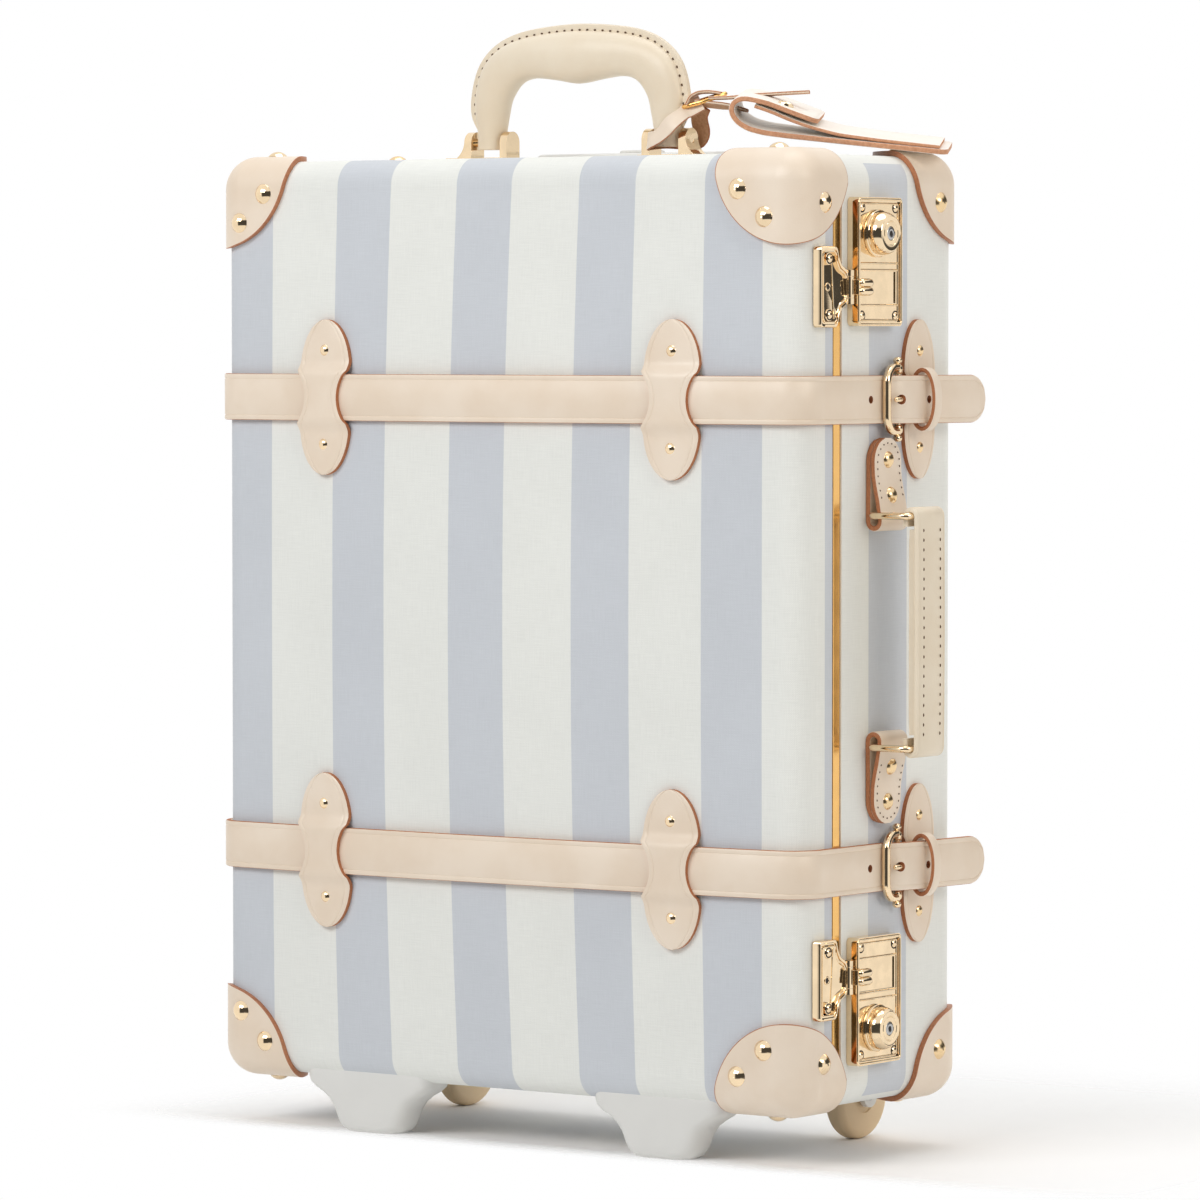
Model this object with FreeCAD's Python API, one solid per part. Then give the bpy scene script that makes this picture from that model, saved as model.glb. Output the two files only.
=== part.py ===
import FreeCAD, Part
import math
import os
from FreeCAD import Vector as V

# Carry-on suitcase. While modelling, x runs from the middle of the width, y towards the back
# and z up from the case bottom. At the end everything moves so that the origin is on the floor,
# in the middle of the footprint. The lid is the front half, hinged on the left side.

# Case halves, millimetres
CASE_W = 356.0
CASE_H = 462.5
FRONT_Y = -66.0
BACK_Y = 74.0
SEAM_Y = -37.2
SEAM_GAP = 0.4
EDGE_R = 14.0
WALL = 4.0
FRONT_CROWN = 8.0
CROWN_MARGIN = 1.0
CROWN_BACKING = 12.0
CROWN_STEPS = 6
LID_RIM_W = 1.4
LID_RIM_INSET = 1.6
BASE_RIM_W = 6.6
BASE_RIM_INSET = 0.6
LINING_T = 1.0
LINING_GAP = 0.2
LINING_BACK_Y = 42.0

# General fits
LAY_GAP = 0.15
SEAT_GAP = 0.08
RUN_GAP = 0.3
PIN_CLEAR = 0.05
PRESS_CLEAR = 0.02
CUT_OVER = 1.0
TINY = 1e-6

# Leather corners: reach from a point near the corner, that point's place from the corner as inwards,
# back and towards the middle height, and rivet places from the two edges of each flap
LEATHER_T = 2.6
LID_CORNER_REACH = {1: 42.4, -1: 44.0}
LID_CORNER_FROM = {1: (6.7, -2.8, 2.0), -1: (0.0, 0.0, 0.0)}
BASE_CORNER_REACH = 43.0
BASE_CORNER_FROM = (0.0, 0.0, 0.0)
CORNER_LAP = 7.7
LID_FACE_RIVETS = {1: ((35.0, 17.5), (19.5, 31.0)), -1: ((30.0, 16.5), (14.5, 31.0))}
LID_SIDE_RIVET = (17.0, 24.0)
BASE_FACE_RIVETS = ((31.0, 16.0), (17.0, 29.0))
BASE_SIDE_RIVET = (21.0, 22.5)
CORNER_HEAD_R = 5.0
CORNER_HEAD_H = 2.6
SHANK_R = 1.4
SHANK_CLEAR = 0.1

# Straps and their bow-tie keepers
STRAP_UP = 116.0
STRAP_DOWN = 118.9
STRAP_W = 23.5
STRAP_T = 3.0
STRAP_GAP = 0.6
KEEPER_FROM_SIDE = 71.7
KEEPER_HALF_H = 39.0
KEEPER_HALF_W = 16.0
KEEPER_POINT_Z = 13.5
KEEPER_HALF_WAIST = 10.4
KEEPER_T = 2.5
KEEPER_RAMP = 3.0
KEEPER_OVER = 0.7
KEEPER_RIVET_Z = 23.6
KEEPER_HEAD_R = 2.4
KEEPER_HEAD_H = 1.3
SIDE_KEEPER_Y = 33.5
ANCHOR_END_Y = 40.0
ANCHOR_RIVETS_Y = (8.0, 28.0)
TAIL_END_Y = 74.0
TAIL_END_X = 3.0
TAIL_HOLES_Y = (-11.0, 42.0)
TAIL_HOLE_R = 1.9
TAIL_TIP_R = 8.0
PRONG_HOLE_Y = (4.2, 15.2)
PRONG_HOLE_HALF = 1.6
PRONG_RISE_Y = 8.6

# Buckles on the right side of the base
BAR_Y = 12.0
BAR_R = 1.5
BAR_HALF = 15.5
BALL_R = 2.4
BALL_TIP_R = 1.5
BUCKLE_BEND = 5.0
BUCKLE_WIRE_R = 1.7
BUCKLE_NOSE_Y = 0.0
CHAPE_T = 1.8
CHAPE_INNER_Z = 2.6
CHAPE_OUTER_Z = 9.0
CHAPE_END_Y = 30.0
PRONG_R = 1.2
PRONG_EYE_R = 2.9
PRONG_EYE_HALF = 2.0
PRONG_TIP_Y = -2.6
LOOP_Y = (23.0, 32.0)
LOOP_INNER_Z = 13.4
LOOP_INNER_X = 5.8
LOOP_T = 2.2

# Locks on the base and hasps on the lid, measured on the upper pair
LOCK_Y = (-26.0, 13.2)
LOCK_ABOVE_HASP = 43.5
LOCK_BELOW_HASP = 18.8
LOCK_T = 6.0
LOCK_BORDER = 2.0
LOCK_RECESS = 0.9
LOCK_CORNER_R = 2.5
SCREW_INSET = 5.0
SCREW_HEAD_R = 2.1
SCREW_HEAD_H = 1.1
KNOB_Y = -8.0
KNOB_ABOVE_HASP = 26.0
KNOB_R = 10.8
KNOB_TOP_R = 7.4
KNOB_H = 8.4
KNOB_SKIRT = 2.4
KNOB_STEM_R = 5.0
KEYHOLE_R = 3.4
KEYHOLE_DEPTH = 1.2
PANEL_Y = (-23.5, 8.4)
PANEL_HALF = 7.6
PANEL_DEEP = 0.6
HASP_DOWN = 64.5
HASP_PLATE_Y = (-55.6, -40.6)
HASP_HALF_H = 19.5
HASP_T = 4.5
HASP_NECK_Y = -31.6
HASP_NECK_HALF = 8.2
HASP_PIN_Y = -29.0
HASP_KNUCKLE_R = 2.6
HASP_PIN_R = 1.1
TONGUE_HALF = 5.3
TONGUE_TIP_Y = -17.6
TONGUE_FINGER_HALF = 3.6
TONGUE_T = 2.4
HASP_SCREW_Z = 13.5

# Carry handle on the top
LEG_X = 55.0
LEG_W = 16.5
LEG_SHOULDER_W = 22.0
LEG_SHOULDER_UP = 23.0
LEG_T = 13.0
LEG_BELOW_PIVOT = 3.5
GRIP_TOP = 68.0
GRIP_DEPTH = 28.0
GRIP_T = 20.0
HANDLE_ROUND = 0.9
PIVOT_R = 2.0
BRACKET_PLATE_T = 1.5
BRACKET_PLATE_D = 18.0
BRACKET_EAR_T = 4.4
BRACKET_EAR_D = 11.0
BRACKET_GUSSET = 9.0
BRACKET_GAP = 0.7

# Side handle on the right side: tabs, rings and grip
TAB_BELOW_STRAP = 18.6
TAB_H = 40.5
TAB_W = 24.0
TAB_T = 5.4
TAB_RIVETS_UP = (13.0, 30.0)
TAB_HEAD_R = 4.0
TAB_HEAD_H = 1.8
SIDE_Y = 2.0
RING_UP = 3.0
RING_R = 1.6
RING_BEND = 4.0
RING_HALF_W = 16.4
EYE_WALL = 1.7
SIDE_GRIP_OUT = 27.0
SIDE_STRIP_T = 3.6
SIDE_STRIP_W = 24.0
SIDE_CORE_T = 5.6
SIDE_CORE_W = 20.0
SIDE_CORE_SHORT = 9.0

# Trolley
TROLLEY_Y = 54.0
TUBE_X = 45.0
TUBE_W = 18.0
TUBE_D = 12.0
TUBE_T = 1.2
STAGE_LIFT = 4.0
TROLLEY_GRIP_L = 125.0
TROLLEY_GRIP_D = 15.0
TROLLEY_GRIP_H = 18.0
TROLLEY_GRIP_UP = 4.5
TROLLEY_GRIP_R = 3.0
TROLLEY_GRIP_GAP = 0.6
BEZEL_WALL = 2.4
BEZEL_DEEP = 16.5
BEZEL_FLANGE = 5.0
BEZEL_FLANGE_T = 1.2
BEZEL_FIT = 0.1
BUTTON_L = 22.0
BUTTON_D = 9.0
BUTTON_DEEP = 7.0
BUTTON_UP = 1.5
BUTTON_TRAVEL = 3.0
BUTTON_GAP = 0.25

# Feet and wheels
FOOT_H = 27.2
FOOT_FROM_SIDE = 88.5
FOOT_BACK_Y = -38.4
FOOT_SECTIONS = ((4.0, 78.0, 23.1), (0.5, 77.5, 23.1), (-3.5, 67.5, 22.6), (-9.0, 52.0, 21.6),
                 (-16.0, 40.0, 20.0), (-23.0, 34.6, 18.4), (-27.2, 30.8, 15.6))
FOOT_CORNER_R = 5.0
WHEEL_X = 122.0
WHEEL_Y = 67.0
WHEEL_R = 22.0
WHEEL_W = 11.0
WHEEL_ROUND = 4.0
WHEEL_HUB_R = 9.0
WHEEL_HUB_SUNK = 1.0
AXLE_R = 2.5
CHEEK_GAP = 0.5
CHEEK_T = 3.0
HOUSING_ROOF = 2.5
HOUSING_CLEAR = 2.0
HOUSING_EAR_R = 6.0

# Hinges on the left side
HINGE_FROM_END = 77.25
HINGE_H = 36.0
HINGE_OUT = 6.0
HINGE_KNUCKLE_R = 3.6
HINGE_PIN_R = 1.5
HINGE_LEAF = 14.0
HINGE_LEAF_T = 1.5
HINGE_SEGMENT_GAP = 0.3

# Luggage tag on the top, tied to the right leg of the carry handle
TAG_START = (86.0, 9.0)
TAG_YAW = 30.0
TAG_PITCH = 5.0
TAG_START_UP = 14.0
TAG_L = 108.0
TAG_W = 54.0
TAG_T = 3.0
TAG_FOLD_H = 15.0
TAG_FLAP_L = 56.0
TAG_FLAP_UP = 10.0
TAG_CARD_T = 1.2
TAG_CARD_MARGIN = 3.0
TAG_STUD_X = 44.0
TAG_STUD_R = 3.5
TAG_STUD_H = 1.6
TAG_LOOP_UP = (15.0, 24.0)
TAG_LOOP_SLACK_X = 2.4
TAG_LOOP_SLACK_Y = 2.4
TAG_LOOP_T = 1.8
TAG_TONGUE_W = 9.0

# Worked-out places
SIDE_X = CASE_W / 2
STRAP_Z = {"lower": STRAP_UP, "upper": CASE_H - STRAP_DOWN}
KEEPER_X = SIDE_X - KEEPER_FROM_SIDE
HASP_Z = CASE_H - HASP_DOWN
LOCK_Z = (HASP_Z - LOCK_BELOW_HASP, HASP_Z + LOCK_ABOVE_HASP)
KNOB_Z = HASP_Z + KNOB_ABOVE_HASP
TAB_TOP = STRAP_Z["upper"] - TAB_BELOW_STRAP
TAB_Z = (TAB_TOP - TAB_H, TAB_TOP)
RING_Z = TAB_Z[0] + RING_UP
FOOT_X = SIDE_X - FOOT_FROM_SIDE
HINGE_Z = (HINGE_FROM_END, CASE_H - HINGE_FROM_END)
CROWN_HALF_W = SIDE_X - EDGE_R - CROWN_MARGIN
CROWN_HALF_H = CASE_H / 2 - EDGE_R - CROWN_MARGIN
LID_EDGE_Y = SEAM_Y - LID_RIM_W
BASE_EDGE_Y = SEAM_Y + BASE_RIM_W
HINGE_X = -SIDE_X - HINGE_OUT
KEEPER_TOP_X = SIDE_X + RUN_GAP + KEEPER_T
BAR_X = SIDE_X + LAY_GAP + BAR_R + PIN_CLEAR + CHAPE_T
BUCKLE_NOSE_X = SIDE_X + RUN_GAP + STRAP_T + RUN_GAP + BUCKLE_WIRE_R
STRAP_OVER_BAR_X = BAR_X + BAR_R + PIN_CLEAR + CHAPE_T + RUN_GAP
LOOP_X = KEEPER_TOP_X + RUN_GAP + LOOP_T + LOOP_INNER_X
TAIL_X = LOOP_X - STRAP_T / 2
RING_IN_X = SIDE_X + LAY_GAP + RING_R + PIN_CLEAR + EYE_WALL
RING_OUT_X = SIDE_X + SIDE_GRIP_OUT
PIVOT_UP = LAY_GAP + BRACKET_PLATE_T + RUN_GAP + math.hypot(LEG_T / 2, LEG_BELOW_PIVOT)
PIVOT_Z = CASE_H + PIVOT_UP
LEG_BOTTOM = PIVOT_UP - LEG_BELOW_PIVOT
EAR_TOP = PIVOT_UP + BRACKET_EAR_D / 2
WHEEL_Z = WHEEL_R - FOOT_H
HOUSING_HALF = WHEEL_W / 2 + CHEEK_GAP + CHEEK_T
HOUSING_TOP = WHEEL_Z + WHEEL_R + HOUSING_CLEAR + HOUSING_ROOF
HOUSING_FRONT_Y = WHEEL_Y - WHEEL_R - HOUSING_CLEAR - HOUSING_ROOF
LOCK_TOP_X = SIDE_X + LAY_GAP + LOCK_T
HASP_PIN_X = SIDE_X + LAY_GAP + RUN_GAP + HASP_KNUCKLE_R
TONGUE_X = LOCK_TOP_X + RUN_GAP
TAG_LOOP_HALF_X = LEG_SHOULDER_W / 2 + TAG_LOOP_SLACK_X
TAG_LOOP_HALF_Y = LEG_T / 2 + TAG_LOOP_SLACK_Y
TAG_LOOP_X = LEG_X + TAG_LOOP_SLACK_X - RUN_GAP


# Simple solids

def box(x, y, z):
    """Box between the low and high values of x, y and z."""
    return Part.makeBox(x[1] - x[0], y[1] - y[0], z[1] - z[0], V(x[0], y[0], z[0]))


def rod(start, end, radius):
    axis = end.sub(start)
    return Part.makeCylinder(radius, axis.Length, start, axis)


def bent_rod(points, radius):
    """Round wire through the points, with a ball at each bend and each end."""
    solid = Part.makeSphere(radius, points[0])
    for start, end in zip(points, points[1:]):
        solid = solid.fuse([rod(start, end, radius), Part.makeSphere(radius, end)])
    return solid.removeSplitter()


def soft_wire(points, bend, radius, closed):
    """Round wire along the points, with a bend of one size at each corner."""
    corners = points if closed else points[1:-1]
    ends = []
    for i, corner in enumerate(corners):
        before = points[i - 1] if closed else points[i]
        after = points[(i + 1) % len(points)] if closed else points[i + 2]
        back = before.sub(corner).normalize()
        ahead = after.sub(corner).normalize()
        half = back.getAngle(ahead) / 2
        inward = back.add(ahead).normalize()
        reach = bend / math.tan(half)
        middle = corner.add(inward * (bend / math.sin(half) - bend))
        ends.append((corner.add(back * reach), middle, corner.add(ahead * reach)))
    edges = []
    last = ends[-1][2] if closed else points[0]
    for start, middle, end in ends:
        edges += [line(last, start), arc(start, middle, end)]
        last = end
    if not closed:
        edges.append(line(last, points[-1]))
    path = Part.Wire(edges)
    start = edges[0].Vertexes[0].Point
    profile = Part.Wire(Part.Circle(start, edges[0].tangentAt(edges[0].FirstParameter), radius).toShape())
    return path.makePipeShell([profile], True, False)


def line(start, end):
    return Part.LineSegment(start, end).toShape()


def arc(start, middle, end):
    return Part.Arc(start, middle, end).toShape()


def prism(points, direction):
    """Solid with straight sides: a closed outline, pushed along direction."""
    return Part.Face(Part.makePolygon(points + points[:1])).extrude(direction)


def rounded_outline(half_u, half_v, radius):
    """Closed rounded rectangle in the XY plane, about the origin."""
    bend = radius * (1 - math.sqrt(0.5))
    edges = []
    corners = ((1, 1), (-1, 1), (-1, -1), (1, -1))
    for i, (su, sv) in enumerate(corners):
        along_v = V(su * half_u, sv * (half_v - radius), 0)
        along_u = V(su * (half_u - radius), sv * half_v, 0)
        start, end = (along_v, along_u) if su * sv > 0 else (along_u, along_v)
        edges.append(arc(start, V(su * (half_u - bend), sv * (half_v - bend), 0), end))
        next_u, next_v = corners[(i + 1) % 4]
        if su == next_u:
            edges.append(line(end, V(su * half_u, next_v * (half_v - radius), 0)))
        else:
            edges.append(line(end, V(next_u * (half_u - radius), sv * half_v, 0)))
    return Part.Wire(edges)


def hollow_prism(outline, hole, height):
    """Outline in the XY plane with a hole through it, pushed up by height."""
    rise = V(0, 0, height)
    return Part.Face(outline).extrude(rise).cut(Part.Face(hole).extrude(rise))


def aimed(solid, at, normal):
    """Copy of a solid modelled along +z at the origin, moved to a place and a direction."""
    copy = solid.copy()
    copy.Placement = FreeCAD.Placement(at, FreeCAD.Rotation(V(0, 0, 1), normal))
    return copy


def mirrored_up(solid):
    """The same piece in the lower half of the case."""
    return solid.mirror(V(0, 0, CASE_H / 2), V(0, 0, 1))


def dome_head(radius, height, shank):
    """Domed head on the plane z = 0, with its shank below it."""
    ball = (radius ** 2 + height ** 2) / (2 * height)
    half = math.asin(radius / ball) / 2
    middle = V(ball * math.sin(half), 0, height - ball * (1 - math.cos(half)))
    points = [V(radius, 0, 0), V(SHANK_R, 0, 0), V(SHANK_R, 0, -shank), V(0, 0, -shank), V(0, 0, height)]
    edges = [line(a, b) for a, b in zip(points, points[1:])]
    edges.append(arc(points[-1], middle, points[0]))
    return Part.Face(Part.Wire(edges)).revolve(V(0, 0, 0), V(0, 0, 1), 360)


def drilled(solid, sites, depth):
    """Solid with a shank hole at each (place, normal) site."""
    radius = SHANK_R + SHANK_CLEAR
    holes = [rod(at.sub(normal * depth), at.add(normal * depth), radius) for at, normal in sites]
    return solid.cut(holes)


# Case halves

def rounded_half(offset, closed_y, open_y):
    """Half of the case as a block, with rounded edges apart from those of the open side."""
    half_w = SIDE_X + offset
    low, high = sorted((closed_y, open_y))
    block = box((-half_w, half_w), (low, high), (-offset, CASE_H + offset))
    edges = [e for e in block.Edges if max(abs(v.Y - open_y) for v in e.Vertexes) > TINY]
    return block.makeFillet(EDGE_R + offset, edges)


def crown_height(x, z):
    across = x / CROWN_HALF_W
    up = (z - CASE_H / 2) / CROWN_HALF_H
    return FRONT_CROWN * (1 - across ** 2) * (1 - up ** 2)


def crown_normal(x, z):
    """Direction square to the domed front, outwards."""
    slope_x = (crown_height(x + 1, z) - crown_height(x - 1, z)) / 2
    slope_z = (crown_height(x, z + 1) - crown_height(x, z - 1)) / 2
    return V(-slope_x, -1, -slope_z).normalize()


def crown(offset):
    """Gently domed front panel, as a block that reaches back into the lid."""
    steps = [2 * i / CROWN_STEPS - 1 for i in range(CROWN_STEPS + 1)]
    rows = []
    for across in steps:
        x = across * CROWN_HALF_W
        heights = [CASE_H / 2 + up * CROWN_HALF_H for up in steps]
        rows.append([V(x, FRONT_Y - offset - crown_height(x, z), z) for z in heights])
    panel = Part.BSplineSurface()
    panel.interpolate(rows)
    return panel.toShape().extrude(V(0, CROWN_BACKING, 0))


def lid_form(offset, open_y):
    return rounded_half(offset, FRONT_Y - offset, open_y).fuse(crown(offset))


def base_form(offset, open_y):
    return rounded_half(offset, BACK_Y + offset, open_y)


def rim(y, inset):
    """Metal edge strip all round one half of the case."""
    outline = rounded_outline(SIDE_X - inset, CASE_H / 2 - inset, EDGE_R - inset)
    depth = WALL + LINING_GAP + LINING_T
    hole = rounded_outline(SIDE_X - depth, CASE_H / 2 - depth, EDGE_R - depth)
    ring = hollow_prism(outline, hole, y[1] - y[0])
    ring.Placement = FreeCAD.Placement(V(0, y[1], CASE_H / 2), FreeCAD.Rotation(V(1, 0, 0), 90))
    return ring


def trolley_slot(margin):
    half_l = TROLLEY_GRIP_L / 2 + TROLLEY_GRIP_GAP + BEZEL_WALL + margin
    half_d = TROLLEY_GRIP_D / 2 + TROLLEY_GRIP_GAP + BEZEL_WALL + margin
    return (-half_l, half_l), (TROLLEY_Y - half_d, TROLLEY_Y + half_d)


def wheel_well(side, margin):
    """Block of space that a wheel housing takes up in the case."""
    middle = side * WHEEL_X
    half = HOUSING_HALF + margin
    return box((middle - half, middle + half), (HOUSING_FRONT_Y - margin, BACK_Y + CUT_OVER),
               (-CUT_OVER, HOUSING_TOP + margin))


def make_shells():
    lid = lid_form(0, LID_EDGE_Y).cut(lid_form(-WALL, LID_EDGE_Y + CUT_OVER))
    base = base_form(0, BASE_EDGE_Y).cut(base_form(-WALL, BASE_EDGE_Y - CUT_OVER))
    slot_x, slot_y = trolley_slot(BEZEL_FIT)
    base = base.cut(box(slot_x, slot_y, (CASE_H - 2 * WALL, CASE_H + CUT_OVER)))
    base = base.cut([wheel_well(side, BEZEL_FIT) for side in (-1, 1)])
    outer = -WALL - LINING_GAP
    inner = outer - LINING_T
    lid_lining = lid_form(outer, LID_EDGE_Y).cut(lid_form(inner, LID_EDGE_Y + CUT_OVER))
    lining = rounded_half(outer, LINING_BACK_Y, BASE_EDGE_Y)
    lining = lining.cut(rounded_half(inner, LINING_BACK_Y - LINING_T, BASE_EDGE_Y - CUT_OVER))
    lining = lining.cut([wheel_well(side, RUN_GAP) for side in (-1, 1)])
    return {"lid_shell": [lid], "base_shell": [base], "lid_lining": [lid_lining], "base_lining": [lining],
            "lid_rim": [rim((LID_EDGE_Y, SEAM_Y - SEAM_GAP / 2), LID_RIM_INSET)],
            "base_rim": [rim((SEAM_Y + SEAM_GAP / 2, BASE_EDGE_Y), BASE_RIM_INSET)]}


# Leather corners and their rivets

def corner_skin(form, edge_y, limit_y, side, level, reach, start):
    """Moulded leather cap over one corner of a half: a layer of the case form, inside a ball."""
    away = math.copysign(CUT_OVER, limit_y - edge_y)
    inwards, back, down = start
    centre = V(side * (SIDE_X - inwards), edge_y + back, CASE_H - down if level > 0 else down)
    layer = form(LAY_GAP + LEATHER_T, limit_y).common(Part.makeSphere(reach, centre))
    return layer.cut(form(LAY_GAP, limit_y + away))


def corner_sites(face_y, facing, side, level, face_rivets, side_rivet):
    """Rivet places of one corner: the front or back flap, the side flap and the top flap."""
    lift = LAY_GAP + LEATHER_T
    sites = []
    for across, down in face_rivets:
        x = side * (SIDE_X - across)
        z = CASE_H - down if level > 0 else down
        if facing < 0:
            sites.append((V(x, face_y - lift - SEAT_GAP - crown_height(x, z), z), crown_normal(x, z)))
        else:
            sites.append((V(x, face_y + lift, z), V(0, 1, 0)))
    inward, down = side_rivet
    z = CASE_H - down if level > 0 else down
    sites.append((V(side * (SIDE_X + lift), face_y - facing * inward, z), V(side, 0, 0)))
    z = CASE_H + lift if level > 0 else -lift
    sites.append((V(side * (SIDE_X - down), face_y - facing * inward, z), V(0, 0, level)))
    return sites


def hasp_seat(level):
    """Space that the leather leaves for the plate of a hasp."""
    z = HASP_Z if level > 0 else CASE_H - HASP_Z
    half = HASP_HALF_H + RUN_GAP
    seat_y = (HASP_PLATE_Y[0] - RUN_GAP, HASP_PIN_Y + HASP_KNUCKLE_R + RUN_GAP)
    return box((SIDE_X - CUT_OVER, SIDE_X + 2 * HASP_T), seat_y, (z - half, z + half))


def make_corners():
    nodes = {"lid_rivets": [], "base_rivets": []}
    head = dome_head(CORNER_HEAD_R, CORNER_HEAD_H, LEATHER_T)
    for level, level_name in ((1, "top"), (-1, "bottom")):
        for side, side_name in ((1, "right"), (-1, "left")):
            limit = SEAM_Y + CORNER_LAP if side > 0 else SEAM_Y - SEAM_GAP
            lid = corner_skin(lid_form, FRONT_Y, limit, side, level, LID_CORNER_REACH[side],
                              LID_CORNER_FROM[side])
            base = corner_skin(base_form, BACK_Y, SEAM_Y, side, level, BASE_CORNER_REACH, BASE_CORNER_FROM)
            lid_sites = corner_sites(FRONT_Y, -1, side, level, LID_FACE_RIVETS[side], LID_SIDE_RIVET)
            base_sites = corner_sites(BACK_Y, 1, side, level, BASE_FACE_RIVETS, BASE_SIDE_RIVET)
            if side > 0:
                lid = lid.cut(hasp_seat(level))
            place = level_name + "_" + side_name
            nodes["lid_corner_" + place] = [drilled(lid, lid_sites, LEATHER_T + LAY_GAP)]
            nodes["base_corner_" + place] = [drilled(base, base_sites, LEATHER_T + LAY_GAP)]
            nodes["lid_rivets"] += [aimed(head, at, normal) for at, normal in lid_sites]
            nodes["base_rivets"] += [aimed(head, at, normal) for at, normal in base_sites]
    return nodes


# Straps and keepers

def strap_line(offset, z):
    """Edges round the lid from its right side to its left side, offset outwards."""
    swell = crown_height(0, z)
    side, front = SIDE_X + offset, FRONT_Y - offset
    end_y = SEAM_Y - SEAM_GAP
    bend_x, bend_y = SIDE_X - EDGE_R, FRONT_Y + EDGE_R
    cut = (EDGE_R + offset) * math.sqrt(0.5)
    right = [V(side, end_y, 0), V(side, bend_y, 0), V(bend_x + cut, bend_y - cut, 0), V(bend_x, front, 0)]
    left = [V(-p.x, p.y, 0) for p in reversed(right)]
    return [line(right[0], right[1]), arc(*right[1:4]), arc(right[3], V(0, front - swell, 0), left[0]),
            arc(*left[0:3]), line(left[2], left[3])]


def strap_run(z):
    """Strap from the right seam, round the front, to the left seam."""
    inner = strap_line(STRAP_GAP, z)
    outer = strap_line(STRAP_GAP + STRAP_T, z)
    ends = [line(a[i].Vertexes[j].Point, b[i].Vertexes[j].Point)
            for a, b, i, j in ((inner, outer, 0, 0), (inner, outer, -1, 1))]
    outline = Part.Wire(Part.__sortEdges__(inner + outer + ends))
    return Part.Face(outline).extrude(V(0, 0, STRAP_W)).translated(V(0, 0, z - STRAP_W / 2))


def strap_tail(z):
    """Free end of the strap: along the side, under the buckle's nose, over its bar, out to the tip."""
    near = SIDE_X + RUN_GAP
    over = STRAP_OVER_BAR_X
    tip = TAIL_X + TAIL_END_X
    inner = [V(near, SEAM_Y - SEAM_GAP + RUN_GAP, 0), V(near, BUCKLE_NOSE_Y + BUCKLE_WIRE_R, 0),
             V(over, BAR_Y - BAR_R, 0), V(over, BAR_Y + BAR_R, 0), V(TAIL_X, LOOP_Y[0], 0),
             V(TAIL_X, LOOP_Y[1] + CHAPE_T, 0), V(tip, TAIL_END_Y, 0)]
    outer = [p.add(V(STRAP_T, 0, 0)) for p in reversed(inner)]
    band = prism(inner + outer, V(0, 0, STRAP_W)).translated(V(0, 0, -STRAP_W / 2))
    reach = (SIDE_X - CUT_OVER, tip + STRAP_T + CUT_OVER)
    depth = reach[1] - reach[0]
    outline = box(reach, (SEAM_Y - CUT_OVER, TAIL_END_Y), (-STRAP_W / 2, STRAP_W / 2))
    tip_edges = [e for e in outline.Edges if min(v.Y for v in e.Vertexes) > TAIL_END_Y - TINY
                 and abs(e.Length - depth) < TINY]
    outline = outline.makeFillet(TAIL_TIP_R, tip_edges)
    holes = [Part.makeCylinder(TAIL_HOLE_R, depth, V(reach[0], y, 0), V(1, 0, 0)) for y in TAIL_HOLES_Y]
    holes.append(box(reach, PRONG_HOLE_Y, (-PRONG_HOLE_HALF, PRONG_HOLE_HALF)))
    return band.common(outline).cut(holes).translated(V(0, 0, z))


def bow_tie(thick):
    """Bow-tie in the XZ plane, with petal ends and a drawn-in waist, pushed from y = 0 to y = -thick."""
    petal = KEEPER_HALF_H - KEEPER_POINT_Z
    edges = []
    for s in (1, -1):
        turn = math.pi * (1 - s) / 2
        ellipse = Part.Ellipse(V(s * KEEPER_POINT_Z, 0, 0), petal, KEEPER_HALF_W)
        edges.append(Part.ArcOfEllipse(ellipse, turn - math.pi / 2, turn + math.pi / 2).toShape())
        edges.append(arc(V(s * KEEPER_POINT_Z, s * KEEPER_HALF_W, 0), V(0, s * KEEPER_HALF_WAIST, 0),
                         V(-s * KEEPER_POINT_Z, s * KEEPER_HALF_W, 0)))
    form = Part.Face(Part.Wire(Part.__sortEdges__(edges))).extrude(V(0, 0, -thick))
    turn = FreeCAD.Rotation(V(0, 0, 1), V(1, 0, 0), V(0, 1, 0), "ZXY")
    return placed(form, FreeCAD.Placement(V(0, 0, 0), turn))


def keeper(arch):
    """Bow-tie leather keeper on the plane y = 0, facing -y, arched over a strap where arch > 0."""
    reach = STRAP_W / 2 + RUN_GAP
    ramp = reach + KEEPER_RAMP
    end = KEEPER_HALF_H + CUT_OVER
    inner = [V(0, -RUN_GAP, -end), V(0, -RUN_GAP, -ramp), V(0, -RUN_GAP - arch, -reach)]
    inner += [V(0, p.y, -p.z) for p in reversed(inner)]
    outer = [p.add(V(0, -KEEPER_T, 0)) for p in reversed(inner)]
    band = prism(inner + outer, V(2 * KEEPER_HALF_W, 0, 0)).translated(V(-KEEPER_HALF_W, 0, 0))
    piece = band.common(bow_tie(RUN_GAP + arch + KEEPER_T + CUT_OVER))
    sites = [(V(0, -RUN_GAP - KEEPER_T, s * KEEPER_RIVET_Z), V(0, -1, 0)) for s in (-1, 1)]
    head = dome_head(KEEPER_HEAD_R, KEEPER_HEAD_H, KEEPER_T)
    return drilled(piece, sites, KEEPER_T), [aimed(head, at, normal) for at, normal in sites]


def placed(solid, placement):
    return solid.transformed(placement.toMatrix())


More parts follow.
